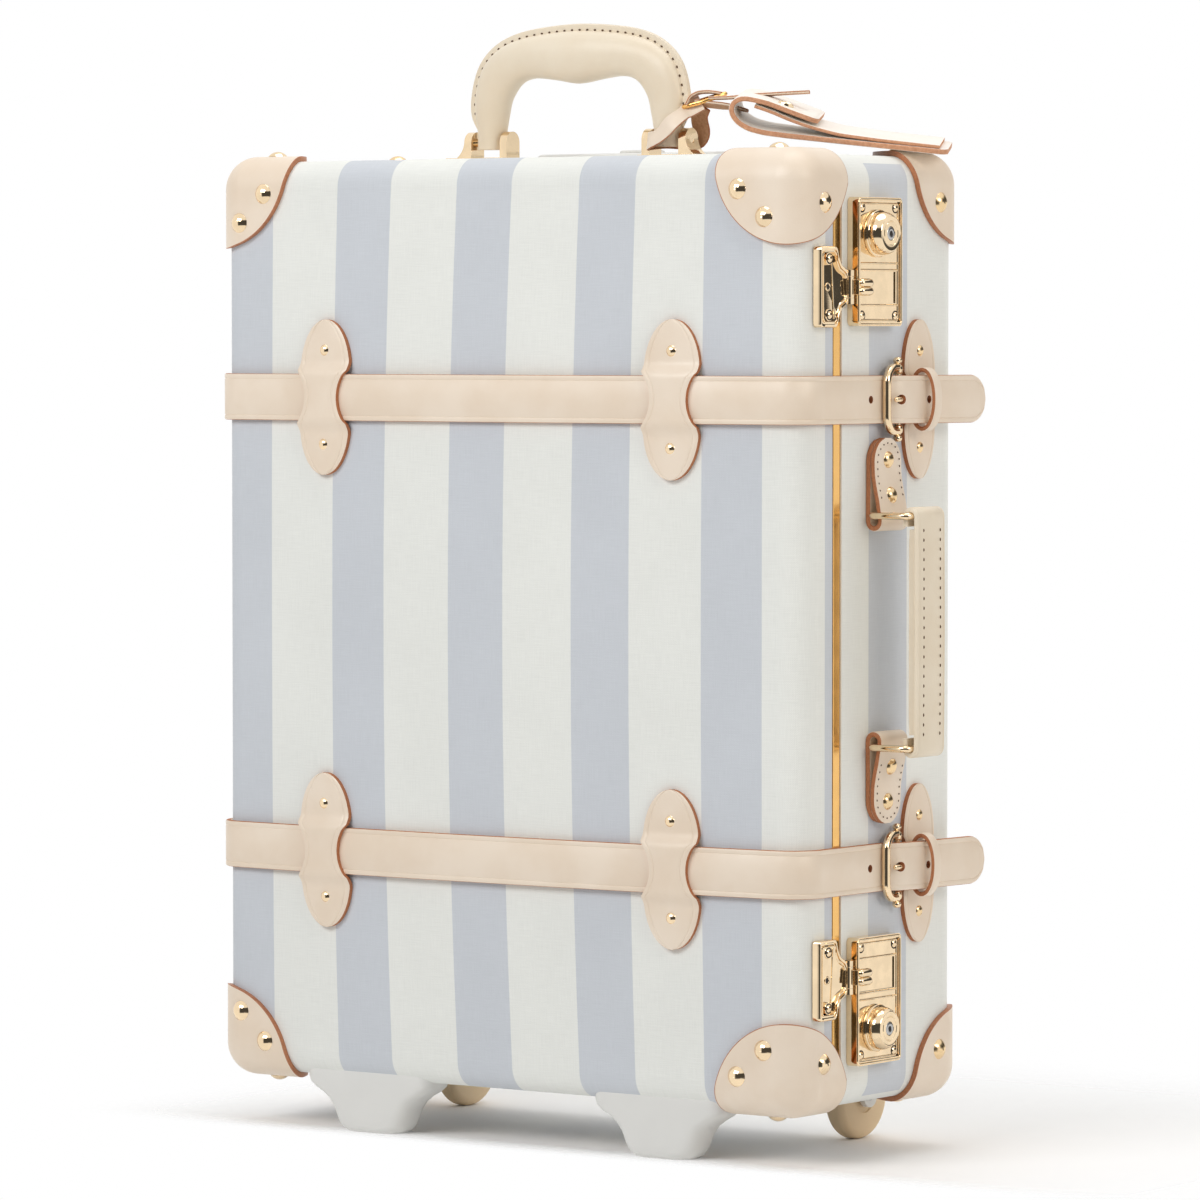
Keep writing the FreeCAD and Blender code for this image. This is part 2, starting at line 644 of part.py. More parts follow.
def make_straps():
    nodes = {"front_keepers": [], "lid_rivets": [], "side_keepers": [], "base_rivets": [],
             "strap_tails": [], "strap_anchors": []}
    arched, arched_rivets = keeper(STRAP_GAP + STRAP_T + KEEPER_OVER - RUN_GAP)
    flat, flat_rivets = keeper(0)
    head = dome_head(CORNER_HEAD_R, CORNER_HEAD_H, STRAP_T)
    for level, z in STRAP_Z.items():
        nodes["strap_" + level] = [strap_run(z)]
        nodes["strap_tails"].append(strap_tail(z))
        for side in (-1, 1):
            x = side * KEEPER_X
            lean = FreeCAD.Rotation(V(0, -1, 0), crown_normal(x, z))
            seat = FreeCAD.Placement(V(x, FRONT_Y - crown_height(x, z), z), lean)
            nodes["front_keepers"].append(placed(arched, seat))
            nodes["lid_rivets"] += [placed(rivet, seat) for rivet in arched_rivets]
        seat = FreeCAD.Placement(V(SIDE_X, SIDE_KEEPER_Y, z), FreeCAD.Rotation(V(0, 0, 1), 90))
        nodes["side_keepers"].append(placed(flat, seat))
        nodes["base_rivets"] += [placed(rivet, seat) for rivet in flat_rivets]
        out = (-SIDE_X - LAY_GAP - STRAP_T, -SIDE_X - LAY_GAP)
        band = box(out, (SEAM_Y + SEAM_GAP, ANCHOR_END_Y - STRAP_W / 2), (z - STRAP_W / 2, z + STRAP_W / 2))
        end = Part.makeCylinder(STRAP_W / 2, STRAP_T, V(out[0], ANCHOR_END_Y - STRAP_W / 2, z), V(1, 0, 0))
        sites = [(V(out[0], y, z), V(-1, 0, 0)) for y in ANCHOR_RIVETS_Y]
        nodes["strap_anchors"].append(drilled(band.fuse(end).removeSplitter(), sites, STRAP_T))
        nodes["base_rivets"] += [aimed(head, at, normal) for at, normal in sites]
    return nodes


# Buckles

def buckle_frame(z):
    """Round-wire frame with a ball at each end of its bar."""
    nose = [V(BUCKLE_NOSE_X, BUCKLE_NOSE_Y, z + s * BAR_HALF) for s in (-1, 1)]
    bar = [V(BAR_X, BAR_Y, z + s * BAR_HALF) for s in (-1, 1)]
    loop = soft_wire([bar[0], nose[0], nose[1], bar[1]], BUCKLE_BEND, BUCKLE_WIRE_R, False)
    balls = [V(BAR_X, BAR_Y, z + s * BAR_HALF) for s in (-1, 1)]
    tips = [V(BAR_X, BAR_Y, z + s * (BAR_HALF + BALL_R + BALL_TIP_R / 2)) for s in (-1, 1)]
    knobs = [Part.makeSphere(BALL_R, at) for at in balls] + [Part.makeSphere(BALL_TIP_R, at) for at in tips]
    return loop.fuse([rod(balls[0], balls[1], BAR_R)] + knobs)


def buckle_prong(z):
    """Prong: an eye round the bar, and a finger that lies on the buckle's nose."""
    eye = rod(V(BAR_X, BAR_Y, z - PRONG_EYE_HALF), V(BAR_X, BAR_Y, z + PRONG_EYE_HALF), PRONG_EYE_R)
    rest_x = BUCKLE_NOSE_X + BUCKLE_WIRE_R + RUN_GAP + PRONG_R
    root = V(BAR_X, BAR_Y - PRONG_EYE_R + PRONG_R, z)
    bend = V(BAR_X, PRONG_RISE_Y, z)
    crest = V(rest_x + PRONG_R, PRONG_HOLE_Y[0] + PRONG_R, z)
    finger = bent_rod([root, bend, crest, V(rest_x, PRONG_TIP_Y, z)], PRONG_R)
    hole = rod(V(BAR_X, BAR_Y, z - STRAP_W), V(BAR_X, BAR_Y, z + STRAP_W), BAR_R + PIN_CLEAR)
    return eye.fuse(finger).cut(hole)


def buckle_chape(z):
    """Leather that wraps the bar on both sides of the prong and runs back over the side keeper."""
    wrap_r = BAR_R + PIN_CLEAR + CHAPE_T
    plate_x = (KEEPER_TOP_X + LAY_GAP, KEEPER_TOP_X + LAY_GAP + CHAPE_T)
    pieces = []
    for s in (-1, 1):
        low, high = sorted((z + s * CHAPE_INNER_Z, z + s * CHAPE_OUTER_Z))
        pieces.append(rod(V(BAR_X, BAR_Y, low), V(BAR_X, BAR_Y, high), wrap_r))
        pieces.append(box(plate_x, (BAR_Y, BAR_Y + wrap_r + CHAPE_T), (low, high)))
    start = BAR_Y + PRONG_EYE_R + RUN_GAP
    plate = box(plate_x, (start, CHAPE_END_Y), (z - CHAPE_OUTER_Z, z + CHAPE_OUTER_Z))
    hole = rod(V(BAR_X, BAR_Y, z - STRAP_W), V(BAR_X, BAR_Y, z + STRAP_W), BAR_R + PIN_CLEAR)
    return plate.fuse(pieces).cut(hole)


def strap_loop(z):
    """Leather ring round the strap tail, standing on the side keeper and the chape."""
    def oval(grow):
        ellipse = Part.Ellipse(V(0, 0, 0), LOOP_INNER_Z + grow, LOOP_INNER_X + grow)
        return Part.Wire(ellipse.toShape())
    band = hollow_prism(oval(LOOP_T), oval(0), LOOP_Y[1] - LOOP_Y[0])
    turn = FreeCAD.Rotation(V(0, 0, 1), V(1, 0, 0), V(0, 1, 0), "ZXY")
    ring = placed(band, FreeCAD.Placement(V(LOOP_X, LOOP_Y[0], z), turn))
    return ring.cut(buckle_chape_space(z))


def buckle_chape_space(z):
    top = KEEPER_TOP_X + LAY_GAP + CHAPE_T + LAY_GAP
    half = CHAPE_OUTER_Z + LAY_GAP
    return box((SIDE_X, top), (BAR_Y, CHAPE_END_Y + LAY_GAP), (z - half, z + half))


def make_buckles():
    nodes = {"buckle_chapes": [], "strap_loops": []}
    for level, z in STRAP_Z.items():
        nodes["buckle_frame_" + level] = [buckle_frame(z)]
        nodes["buckle_prong_" + level] = [buckle_prong(z)]
        nodes["buckle_chapes"].append(buckle_chape(z))
        nodes["strap_loops"].append(strap_loop(z))
    return nodes


# Locks and hasps

def lock_plate():
    face = (SIDE_X + LAY_GAP, LOCK_TOP_X)
    plate = box(face, LOCK_Y, LOCK_Z)
    upright = [e for e in plate.Edges if abs(e.Vertexes[0].X - e.Vertexes[1].X) > TINY]
    plate = plate.makeFillet(LOCK_CORNER_R, upright)
    inner_y = (LOCK_Y[0] + LOCK_BORDER, LOCK_Y[1] - LOCK_BORDER)
    inner_z = (LOCK_Z[0] + LOCK_BORDER, LOCK_Z[1] - LOCK_BORDER)
    recess = box((face[1] - LOCK_RECESS, face[1] + CUT_OVER), inner_y, inner_z)
    stem = Part.makeCylinder(KNOB_STEM_R + PIN_CLEAR, LOCK_T * 2, V(SIDE_X, KNOB_Y, KNOB_Z), V(1, 0, 0))
    deep = face[1] - LOCK_RECESS - PANEL_DEEP
    panel = box((deep, face[1]), PANEL_Y, (HASP_Z - PANEL_HALF, HASP_Z + PANEL_HALF))
    return plate.cut([recess, stem, panel])


def lock_screw_sites():
    seat = LOCK_TOP_X - LOCK_RECESS
    corners = [(y, z) for y in (LOCK_Y[0] + SCREW_INSET, LOCK_Y[1] - SCREW_INSET)
               for z in (LOCK_Z[0] + SCREW_INSET, LOCK_Z[1] - SCREW_INSET)]
    return [(V(seat, y, z), V(1, 0, 0)) for y, z in corners]


def lock_knob():
    """Turning knob with a stem in the plate and a round keyhole place in its face."""
    sunk = LOCK_RECESS - RUN_GAP
    base = -LOCK_T + LOCK_RECESS
    drop = KNOB_H - KNOB_SKIRT
    bulge = V(KNOB_TOP_R + (KNOB_R - KNOB_TOP_R) * math.sqrt(0.5), 0, KNOB_SKIRT + drop * math.sqrt(0.5))
    points = [V(r, 0, z) for r, z in ((KNOB_TOP_R, KNOB_H), (0, KNOB_H), (0, base), (KNOB_STEM_R, base),
                                      (KNOB_STEM_R, RUN_GAP), (KNOB_R, RUN_GAP), (KNOB_R, KNOB_SKIRT))]
    edges = [line(a, b) for a, b in zip(points, points[1:])]
    edges.append(arc(points[-1], bulge, points[0]))
    form = Part.Face(Part.Wire(edges)).revolve(V(0, 0, 0), V(0, 0, 1), 360)
    form = form.cut(Part.makeCylinder(KEYHOLE_R, KEYHOLE_DEPTH * 2, V(0, 0, KNOB_H - KEYHOLE_DEPTH)))
    return aimed(form, V(LOCK_TOP_X - sunk - RUN_GAP, KNOB_Y, KNOB_Z), V(1, 0, 0))


def hasp_axis_rod(half, radius):
    """Round bar on the hinge line of the upper hasp."""
    return rod(V(HASP_PIN_X, HASP_PIN_Y, HASP_Z - half), V(HASP_PIN_X, HASP_PIN_Y, HASP_Z + half), radius)


def hasp_plate():
    """Plate on the lid whose wing narrows towards two hinge knuckles over the seam."""
    floor = SIDE_X + LAY_GAP
    low, high = HASP_PLATE_Y
    waist = V(0, (high + HASP_NECK_Y) / 2, HASP_NECK_HALF + RUN_GAP)
    top = [V(0, low, HASP_HALF_H), V(0, high, HASP_HALF_H), V(0, HASP_NECK_Y, HASP_NECK_HALF)]
    base = [V(0, p.y, -p.z) for p in reversed(top)]
    waist_low = V(0, waist.y, -waist.z)
    edges = [line(top[0], top[1]), arc(top[1], waist, top[2]), line(top[2], base[0]),
             arc(base[0], waist_low, base[1]), line(base[1], base[2]), line(base[2], top[0])]
    plate = Part.Face(Part.Wire(edges)).extrude(V(HASP_T, 0, 0)).translated(V(floor, 0, HASP_Z))
    parts = []
    for s in (-1, 1):
        low, high = sorted((HASP_Z + s * (TONGUE_HALF + RUN_GAP), HASP_Z + s * HASP_NECK_HALF))
        parts.append(rod(V(HASP_PIN_X, HASP_PIN_Y, low), V(HASP_PIN_X, HASP_PIN_Y, high), HASP_KNUCKLE_R))
        parts.append(box((HASP_PIN_X - HASP_KNUCKLE_R, HASP_PIN_X + HASP_KNUCKLE_R / 2),
                         (HASP_NECK_Y - HASP_KNUCKLE_R, HASP_PIN_Y), (low, high)))
    swing = TONGUE_X + TONGUE_T - HASP_PIN_X
    clear = hasp_axis_rod(TONGUE_HALF + RUN_GAP, swing + RUN_GAP)
    return plate.cut(clear).fuse(parts).cut(hasp_axis_rod(2 * HASP_NECK_HALF, HASP_PIN_R + PRESS_CLEAR))


def hasp_tongue():
    """Hinged finger that lies over the lock plate."""
    half = TONGUE_FINGER_HALF
    top = TONGUE_X + TONGUE_T
    round_y = TONGUE_TIP_Y - half
    rise_y = HASP_PIN_Y + HASP_KNUCKLE_R
    eye = hasp_axis_rod(TONGUE_HALF, HASP_KNUCKLE_R)
    finger = box((TONGUE_X, top), (rise_y, round_y), (HASP_Z - half, HASP_Z + half))
    tip = Part.makeCylinder(half, TONGUE_T, V(TONGUE_X, round_y, HASP_Z), V(1, 0, 0))
    corners = ((HASP_PIN_X, HASP_PIN_Y), (top, HASP_PIN_Y), (top, rise_y), (TONGUE_X, rise_y))
    rise = prism([V(x, y, HASP_Z - half) for x, y in corners], V(0, 0, 2 * half))
    form = eye.fuse([finger, tip, rise]).removeSplitter()
    return form.cut(hasp_axis_rod(2 * TONGUE_HALF, HASP_PIN_R + PIN_CLEAR))


def make_locks():
    nodes = {"lock_plates": [], "lock_screws": [], "hasp_plates": [], "hasp_fasteners": []}
    screw = dome_head(SCREW_HEAD_R, SCREW_HEAD_H, LOCK_T - LOCK_RECESS)
    hasp_screw = dome_head(SCREW_HEAD_R, SCREW_HEAD_H, HASP_T)
    hasp_y = sum(HASP_PLATE_Y) / 2
    hasp_top = SIDE_X + LAY_GAP + HASP_T
    hasp_sites = [(V(hasp_top, hasp_y, HASP_Z + s * HASP_SCREW_Z), V(1, 0, 0)) for s in (-1, 1)]
    plate = drilled(lock_plate(), lock_screw_sites(), LOCK_T)
    wing = drilled(hasp_plate(), hasp_sites, HASP_T)
    screws = [aimed(screw, at, normal) for at, normal in lock_screw_sites()]
    fasteners = [aimed(hasp_screw, at, normal) for at, normal in hasp_sites]
    fasteners.append(hasp_axis_rod(HASP_NECK_HALF, HASP_PIN_R))
    for level, copy in (("upper", lambda solid: solid), ("lower", mirrored_up)):
        nodes["lock_plates"].append(copy(plate))
        nodes["lock_screws"] += [copy(solid) for solid in screws]
        nodes["hasp_plates"].append(copy(wing))
        nodes["hasp_fasteners"] += [copy(solid) for solid in fasteners]
        nodes["lock_knob_" + level] = [copy(lock_knob())]
        nodes["hasp_tongue_" + level] = [copy(hasp_tongue())]
    return nodes


# Carry handle

def handle_section(x, up, lean, width, thick):
    """Oval section of the handle, square to its middle line."""
    angle = math.radians(lean)
    along = V(math.cos(angle), 0, math.sin(angle))
    across = V(-math.sin(angle), 0, math.cos(angle))
    oval = rounded_outline(width / 2, thick / 2, HANDLE_ROUND * thick / 2)
    turn = FreeCAD.Rotation(across, V(0, 1, 0), along, "ZXY")
    return placed(oval, FreeCAD.Placement(V(x, 0, CASE_H + up), turn))


def carry_handle():
    """Padded arch: two legs that swell into a thick grip."""
    top = GRIP_TOP - GRIP_DEPTH / 2
    clear = EAR_TOP + RUN_GAP
    grow = GRIP_DEPTH - LEG_SHOULDER_W
    right = [(LEG_X, LEG_BOTTOM, 90, LEG_W, 0), (LEG_X, (LEG_BOTTOM + clear) / 2, 90, LEG_W, 0),
             (LEG_X, clear, 90, LEG_W, 0), (1.02 * LEG_X, LEG_SHOULDER_UP, 90, LEG_SHOULDER_W, 0.1),
             (LEG_X, 0.6 * top, 97, LEG_SHOULDER_W + 0.4 * grow, 0.2),
             (0.915 * LEG_X, 0.79 * top, 115, LEG_SHOULDER_W + 0.75 * grow, 0.35),
             (0.775 * LEG_X, 0.915 * top, 135, LEG_SHOULDER_W + 0.7 * grow, 0.5),
             (0.573 * LEG_X, 0.98 * top, 158, LEG_SHOULDER_W + 0.55 * grow, 0.7),
             (0.3 * LEG_X, top, 170, LEG_SHOULDER_W + 0.75 * grow, 0.9)]
    left = [(-x, up, 360 - lean, width, share) for x, up, lean, width, share in reversed(right)]
    sections = [handle_section(x, up, lean, width, LEG_T + share * (GRIP_T - LEG_T))
                for x, up, lean, width, share in right + [(0, top, 180, GRIP_DEPTH, 1)] + left]
    arch = Part.makeLoft(sections, True, False)
    bore = rod(V(-CASE_W, 0, PIVOT_Z), V(CASE_W, 0, PIVOT_Z), PIVOT_R + PIN_CLEAR)
    return arch.cut(bore)


def handle_bracket(side):
    """Fork of two ears on a plate, the outer ear propped by a gusset."""
    floor = CASE_H + LAY_GAP
    gap = LEG_W / 2 + BRACKET_GAP
    inner = (LEG_X - gap - BRACKET_EAR_T, LEG_X - gap)
    outer = (LEG_X + gap, LEG_X + gap + BRACKET_EAR_T)
    foot_x = outer[1] + BRACKET_GUSSET
    half = BRACKET_EAR_D / 2
    depth = BRACKET_PLATE_D / 2
    plate = box((inner[0], foot_x), (-depth, depth), (floor, floor + BRACKET_PLATE_T))
    ears = []
    for low, high in (inner, outer):
        ear = box((low, high), (-half, half), (floor, PIVOT_Z))
        ears.append(ear.fuse(Part.makeCylinder(half, high - low, V(low, 0, PIVOT_Z), V(1, 0, 0))))
    heel, toe, peak = V(outer[1], -half, floor), V(foot_x, -half, floor), V(outer[1], -half, PIVOT_Z)
    sag = V((2 * heel.x + toe.x) / 3, -half, (2 * heel.z + peak.z) / 3)
    outline = Part.Wire([line(heel, toe), arc(toe, sag, peak), line(peak, heel)])
    prop = Part.Face(outline).extrude(V(0, 2 * half, 0))
    bore = rod(V(0, 0, PIVOT_Z), V(CASE_W, 0, PIVOT_Z), PIVOT_R + PRESS_CLEAR)
    bracket = plate.fuse(ears + [prop]).removeSplitter().cut(bore)
    pin = rod(V(inner[0], 0, PIVOT_Z), V(outer[1], 0, PIVOT_Z), PIVOT_R)
    if side > 0:
        return bracket, pin
    return [solid.mirror(V(0, 0, 0), V(1, 0, 0)) for solid in (bracket, pin)]


def make_carry_handle():
    pairs = [handle_bracket(side) for side in (-1, 1)]
    return {"carry_handle": [carry_handle()], "handle_brackets": [bracket for bracket, pin in pairs],
            "handle_pins": [pin for bracket, pin in pairs]}


# Side handle

def side_tab():
    """Folded leather tab, rounded at its top, with an eye at its lower end for the ring."""
    floor = SIDE_X + LAY_GAP
    half = TAB_W / 2
    flat = box((floor, floor + TAB_T), (SIDE_Y - half, SIDE_Y + half), (RING_Z, TAB_Z[1] - half))
    end = Part.makeCylinder(half, TAB_T, V(floor, SIDE_Y, TAB_Z[1] - half), V(1, 0, 0))
    eye_r = RING_R + PIN_CLEAR + EYE_WALL
    low, high = V(RING_IN_X, SIDE_Y - half, RING_Z), V(RING_IN_X, SIDE_Y + half, RING_Z)
    tab = flat.fuse([end, rod(low, high, eye_r)]).removeSplitter()
    return tab.cut(rod(low, high, RING_R + PIN_CLEAR))


def side_ring():
    """Closed rectangular ring of round wire, flat in the XY plane."""
    near, far = SIDE_Y - RING_HALF_W, SIDE_Y + RING_HALF_W
    corners = [V(RING_IN_X, near, RING_Z), V(RING_IN_X, far, RING_Z), V(RING_OUT_X, far, RING_Z),
               V(RING_OUT_X, near, RING_Z)]
    return soft_wire(corners, RING_BEND, RING_R, True)


def side_grip():
    """Stitched strip that wraps a ring at each end, with a shorter and narrower core on its inside."""
    inner = RING_OUT_X + RING_R + PIN_CLEAR
    wrap_r = RING_R + PIN_CLEAR + SIDE_STRIP_T
    half, core = SIDE_STRIP_W / 2, SIDE_CORE_W / 2
    levels = (CASE_H - RING_Z, RING_Z)
    strip = box((inner, inner + SIDE_STRIP_T), (SIDE_Y - half, SIDE_Y + half), levels)
    pad = box((inner - SIDE_CORE_T, inner), (SIDE_Y - core, SIDE_Y + core),
              (levels[0] + SIDE_CORE_SHORT, levels[1] - SIDE_CORE_SHORT))
    wraps = [rod(V(RING_OUT_X, SIDE_Y - half, z), V(RING_OUT_X, SIDE_Y + half, z), wrap_r) for z in levels]
    eyes = [rod(V(RING_OUT_X, SIDE_Y - CASE_W, z), V(RING_OUT_X, SIDE_Y + CASE_W, z), RING_R + PIN_CLEAR)
            for z in levels]
    return strip.fuse([pad] + wraps).removeSplitter().cut(eyes)


def make_side_handle():
    seat = SIDE_X + LAY_GAP + TAB_T
    sites = [(V(seat, SIDE_Y, TAB_Z[0] + up), V(1, 0, 0)) for up in TAB_RIVETS_UP]
    head = dome_head(TAB_HEAD_R, TAB_HEAD_H, TAB_T)
    tab = drilled(side_tab(), sites, TAB_T)
    heads = [aimed(head, at, normal) for at, normal in sites]
    return {"side_tabs": [tab, mirrored_up(tab)],
            "base_rivets": heads + [mirrored_up(solid) for solid in heads],
            "side_ring_upper": [side_ring()], "side_ring_lower": [mirrored_up(side_ring())],
            "side_handle": [side_grip()]}


# Trolley

def tube(side, shrink, z):
    """Rectangular tube, smaller all round by shrink."""
    middle = side * TUBE_X
    half_w, half_d = TUBE_W / 2 - shrink, TUBE_D / 2 - shrink
    outer = box((middle - half_w, middle + half_w), (TROLLEY_Y - half_d, TROLLEY_Y + half_d), z)
    bore = box((middle - half_w + TUBE_T, middle + half_w - TUBE_T),
               (TROLLEY_Y - half_d + TUBE_T, TROLLEY_Y + half_d - TUBE_T), (z[0] - CUT_OVER, z[1] + CUT_OVER))
    return outer.cut(bore)


def make_trolley():
    nest = TUBE_T + RUN_GAP
    outer_top = CASE_H - BEZEL_DEEP
    grip_top = CASE_H + TROLLEY_GRIP_UP
    grip_low = grip_top - TROLLEY_GRIP_H
    stages = (("trolley_outer_tubes", 0, (WALL, outer_top)),
              ("trolley_middle_tubes", nest, (WALL + STAGE_LIFT, outer_top - STAGE_LIFT / 2)),
              ("trolley_inner_tubes", 2 * nest, (WALL + 2 * STAGE_LIFT, grip_low)))
    nodes = {name: [tube(side, shrink, z) for side in (-1, 1)] for name, shrink, z in stages}
    half_l, half_d = TROLLEY_GRIP_L / 2, TROLLEY_GRIP_D / 2
    grip = box((-half_l, half_l), (TROLLEY_Y - half_d, TROLLEY_Y + half_d), (grip_low, grip_top))
    above = [e for e in grip.Edges if max(v.Z for v in e.Vertexes) > grip_top - TINY]
    grip = grip.makeFillet(TROLLEY_GRIP_R, above)
    half_b, half_s = BUTTON_L / 2, BUTTON_D / 2
    pocket = box((-half_b - BUTTON_GAP, half_b + BUTTON_GAP),
                 (TROLLEY_Y - half_s - BUTTON_GAP, TROLLEY_Y + half_s + BUTTON_GAP),
                 (grip_top - BUTTON_DEEP - BUTTON_TRAVEL - RUN_GAP, grip_top + CUT_OVER))
    button = box((-half_b, half_b), (TROLLEY_Y - half_s, TROLLEY_Y + half_s),
                 (grip_top - BUTTON_DEEP, grip_top + BUTTON_UP))
    crest = [e for e in button.Edges if min(v.Z for v in e.Vertexes) > grip_top]
    nodes["trolley_button"] = [button.makeFillet(BUTTON_UP * 0.8, crest)]
    nodes["trolley_grip"] = [grip.cut(pocket)]
    slot_x, slot_y = trolley_slot(0)
    lip = BEZEL_FLANGE
    flange = box((slot_x[0] - lip, slot_x[1] + lip), (slot_y[0] - lip, slot_y[1] + lip),
                 (CASE_H + LAY_GAP, CASE_H + LAY_GAP + BEZEL_FLANGE_T))
    sleeve = box(slot_x, slot_y, (outer_top, CASE_H + LAY_GAP))
    mouth = box((slot_x[0] + BEZEL_WALL, slot_x[1] - BEZEL_WALL),
                (slot_y[0] + BEZEL_WALL, slot_y[1] - BEZEL_WALL),
                (outer_top - CUT_OVER, CASE_H + 2 * BEZEL_FLANGE_T))
    nodes["trolley_bezel"] = [flange.fuse(sleeve).removeSplitter().cut(mouth)]
    return nodes


# Feet and wheels

def front_foot(side, lid):
    """Flared foot under the lid's bottom edge, fitted to the rounded edge above it."""
    outlines = []
    for up, width, depth in FOOT_SECTIONS:
        outline = rounded_outline(width / 2, depth / 2, FOOT_CORNER_R)
        outlines.append(outline.translated(V(side * FOOT_X, FOOT_BACK_Y - FOOT_SECTIONS[0][2] / 2, up)))
    return Part.makeLoft(outlines, True, False).cut(lid)


def wheel(side):
    """Wheel with a rounded tread and sunk hub faces, turning on the x axis."""
    half = WHEEL_W / 2
    form = Part.makeCylinder(WHEEL_R, WHEEL_W, V(-half, 0, 0), V(1, 0, 0))
    form = form.makeFillet(WHEEL_ROUND, [e for e in form.Edges if e.Length > 6 * WHEEL_R])
    bore = rod(V(-WHEEL_W, 0, 0), V(WHEEL_W, 0, 0), AXLE_R + PIN_CLEAR)
    sunk = half - WHEEL_HUB_SUNK
    hubs = [Part.makeCylinder(WHEEL_HUB_R, WHEEL_W, V(s * sunk, 0, 0), V(s, 0, 0)) for s in (-1, 1)]
    return form.cut([bore] + hubs).translated(V(side * WHEEL_X, WHEEL_Y, WHEEL_Z))


def wheel_housing(side):
    """Housing in the case's back bottom edge: a roof, a front wall and two cheeks for the axle."""
    middle = side * WHEEL_X
    gap = WHEEL_W / 2 + CHEEK_GAP
    sides = (middle - HOUSING_HALF, middle + HOUSING_HALF)
    ear_r = HOUSING_EAR_R
    block = box(sides, (HOUSING_FRONT_Y, BACK_Y - CHEEK_GAP), (0, HOUSING_TOP))
    cheeks = []
    for low in (sides[0], middle + gap):
        ear = box((low, low + CHEEK_T), (WHEEL_Y - ear_r, WHEEL_Y + ear_r), (WHEEL_Z, CUT_OVER))
        cheeks.append(ear.fuse(Part.makeCylinder(ear_r, CHEEK_T, V(low, WHEEL_Y, WHEEL_Z), V(1, 0, 0))))
    hollow = box((middle - gap, middle + gap), (HOUSING_FRONT_Y + HOUSING_ROOF, BACK_Y + CUT_OVER),
                 (-CUT_OVER, HOUSING_TOP - HOUSING_ROOF))
    ends = [V(x, WHEEL_Y, WHEEL_Z) for x in (sides[0] - CUT_OVER, sides[1] + CUT_OVER)]
    bore = rod(ends[0], ends[1], AXLE_R + PRESS_CLEAR)
    return block.cut(hollow).fuse(cheeks).removeSplitter().cut(bore)


def make_running_gear():
    lid = lid_form(LAY_GAP, SEAM_Y)
    nodes = {"wheel_housings": [], "wheel_axles": []}
    for side, name in ((-1, "left"), (1, "right")):
        middle = side * WHEEL_X
        nodes["front_foot_" + name] = [front_foot(side, lid)]
        nodes["wheel_" + name] = [wheel(side)]
        nodes["wheel_housings"].append(wheel_housing(side))
        nodes["wheel_axles"].append(rod(V(middle - HOUSING_HALF, WHEEL_Y, WHEEL_Z),
                                        V(middle + HOUSING_HALF, WHEEL_Y, WHEEL_Z), AXLE_R))
    return nodes


# Hinges

def hinge_leaf(z, facing, segments, clearance):
    """Leaf on the left wall, with an upstand and a knuckle for each of its segments."""
    wall = -SIDE_X - LAY_GAP
    near, far = sorted((SEAM_Y + facing * HINGE_SEGMENT_GAP, SEAM_Y + facing * HINGE_LEAF))
    leaf = box((wall - HINGE_LEAF_T, wall), (near, far), (z - HINGE_H / 2, z + HINGE_H / 2))
    parts = []
    for low, high in segments:
        y = sorted((SEAM_Y + facing * HINGE_SEGMENT_GAP, SEAM_Y + facing * HINGE_KNUCKLE_R))
        parts.append(box((HINGE_X, wall), y, (z + low, z + high)))
        parts.append(rod(V(HINGE_X, SEAM_Y, z + low), V(HINGE_X, SEAM_Y, z + high), HINGE_KNUCKLE_R))
    bore = rod(V(HINGE_X, SEAM_Y, z - HINGE_H), V(HINGE_X, SEAM_Y, z + HINGE_H), HINGE_PIN_R + clearance)
    return leaf.fuse(parts).removeSplitter().cut(bore)


def make_hinges():
    half, third = HINGE_H / 2, HINGE_H / 6
    middle = [(-third + HINGE_SEGMENT_GAP, third - HINGE_SEGMENT_GAP)]
    ends = [(-half, -third), (third, half)]
    return {"hinge_lid_leaves": [hinge_leaf(z, -1, middle, PIN_CLEAR) for z in HINGE_Z],
            "hinge_base_leaves": [hinge_leaf(z, 1, ends, PRESS_CLEAR) for z in HINGE_Z],
            "hinge_pins": [rod(V(HINGE_X, SEAM_Y, z - half), V(HINGE_X, SEAM_Y, z + half), HINGE_PIN_R)
                           for z in HINGE_Z]}


# Luggage tag

def tag_seat():
    turn = FreeCAD.Rotation(V(0, 0, 1), TAG_YAW).multiply(FreeCAD.Rotation(V(0, 1, 0), TAG_PITCH))
    return FreeCAD.Placement(V(TAG_START[0], TAG_START[1], CASE_H + TAG_START_UP), turn)


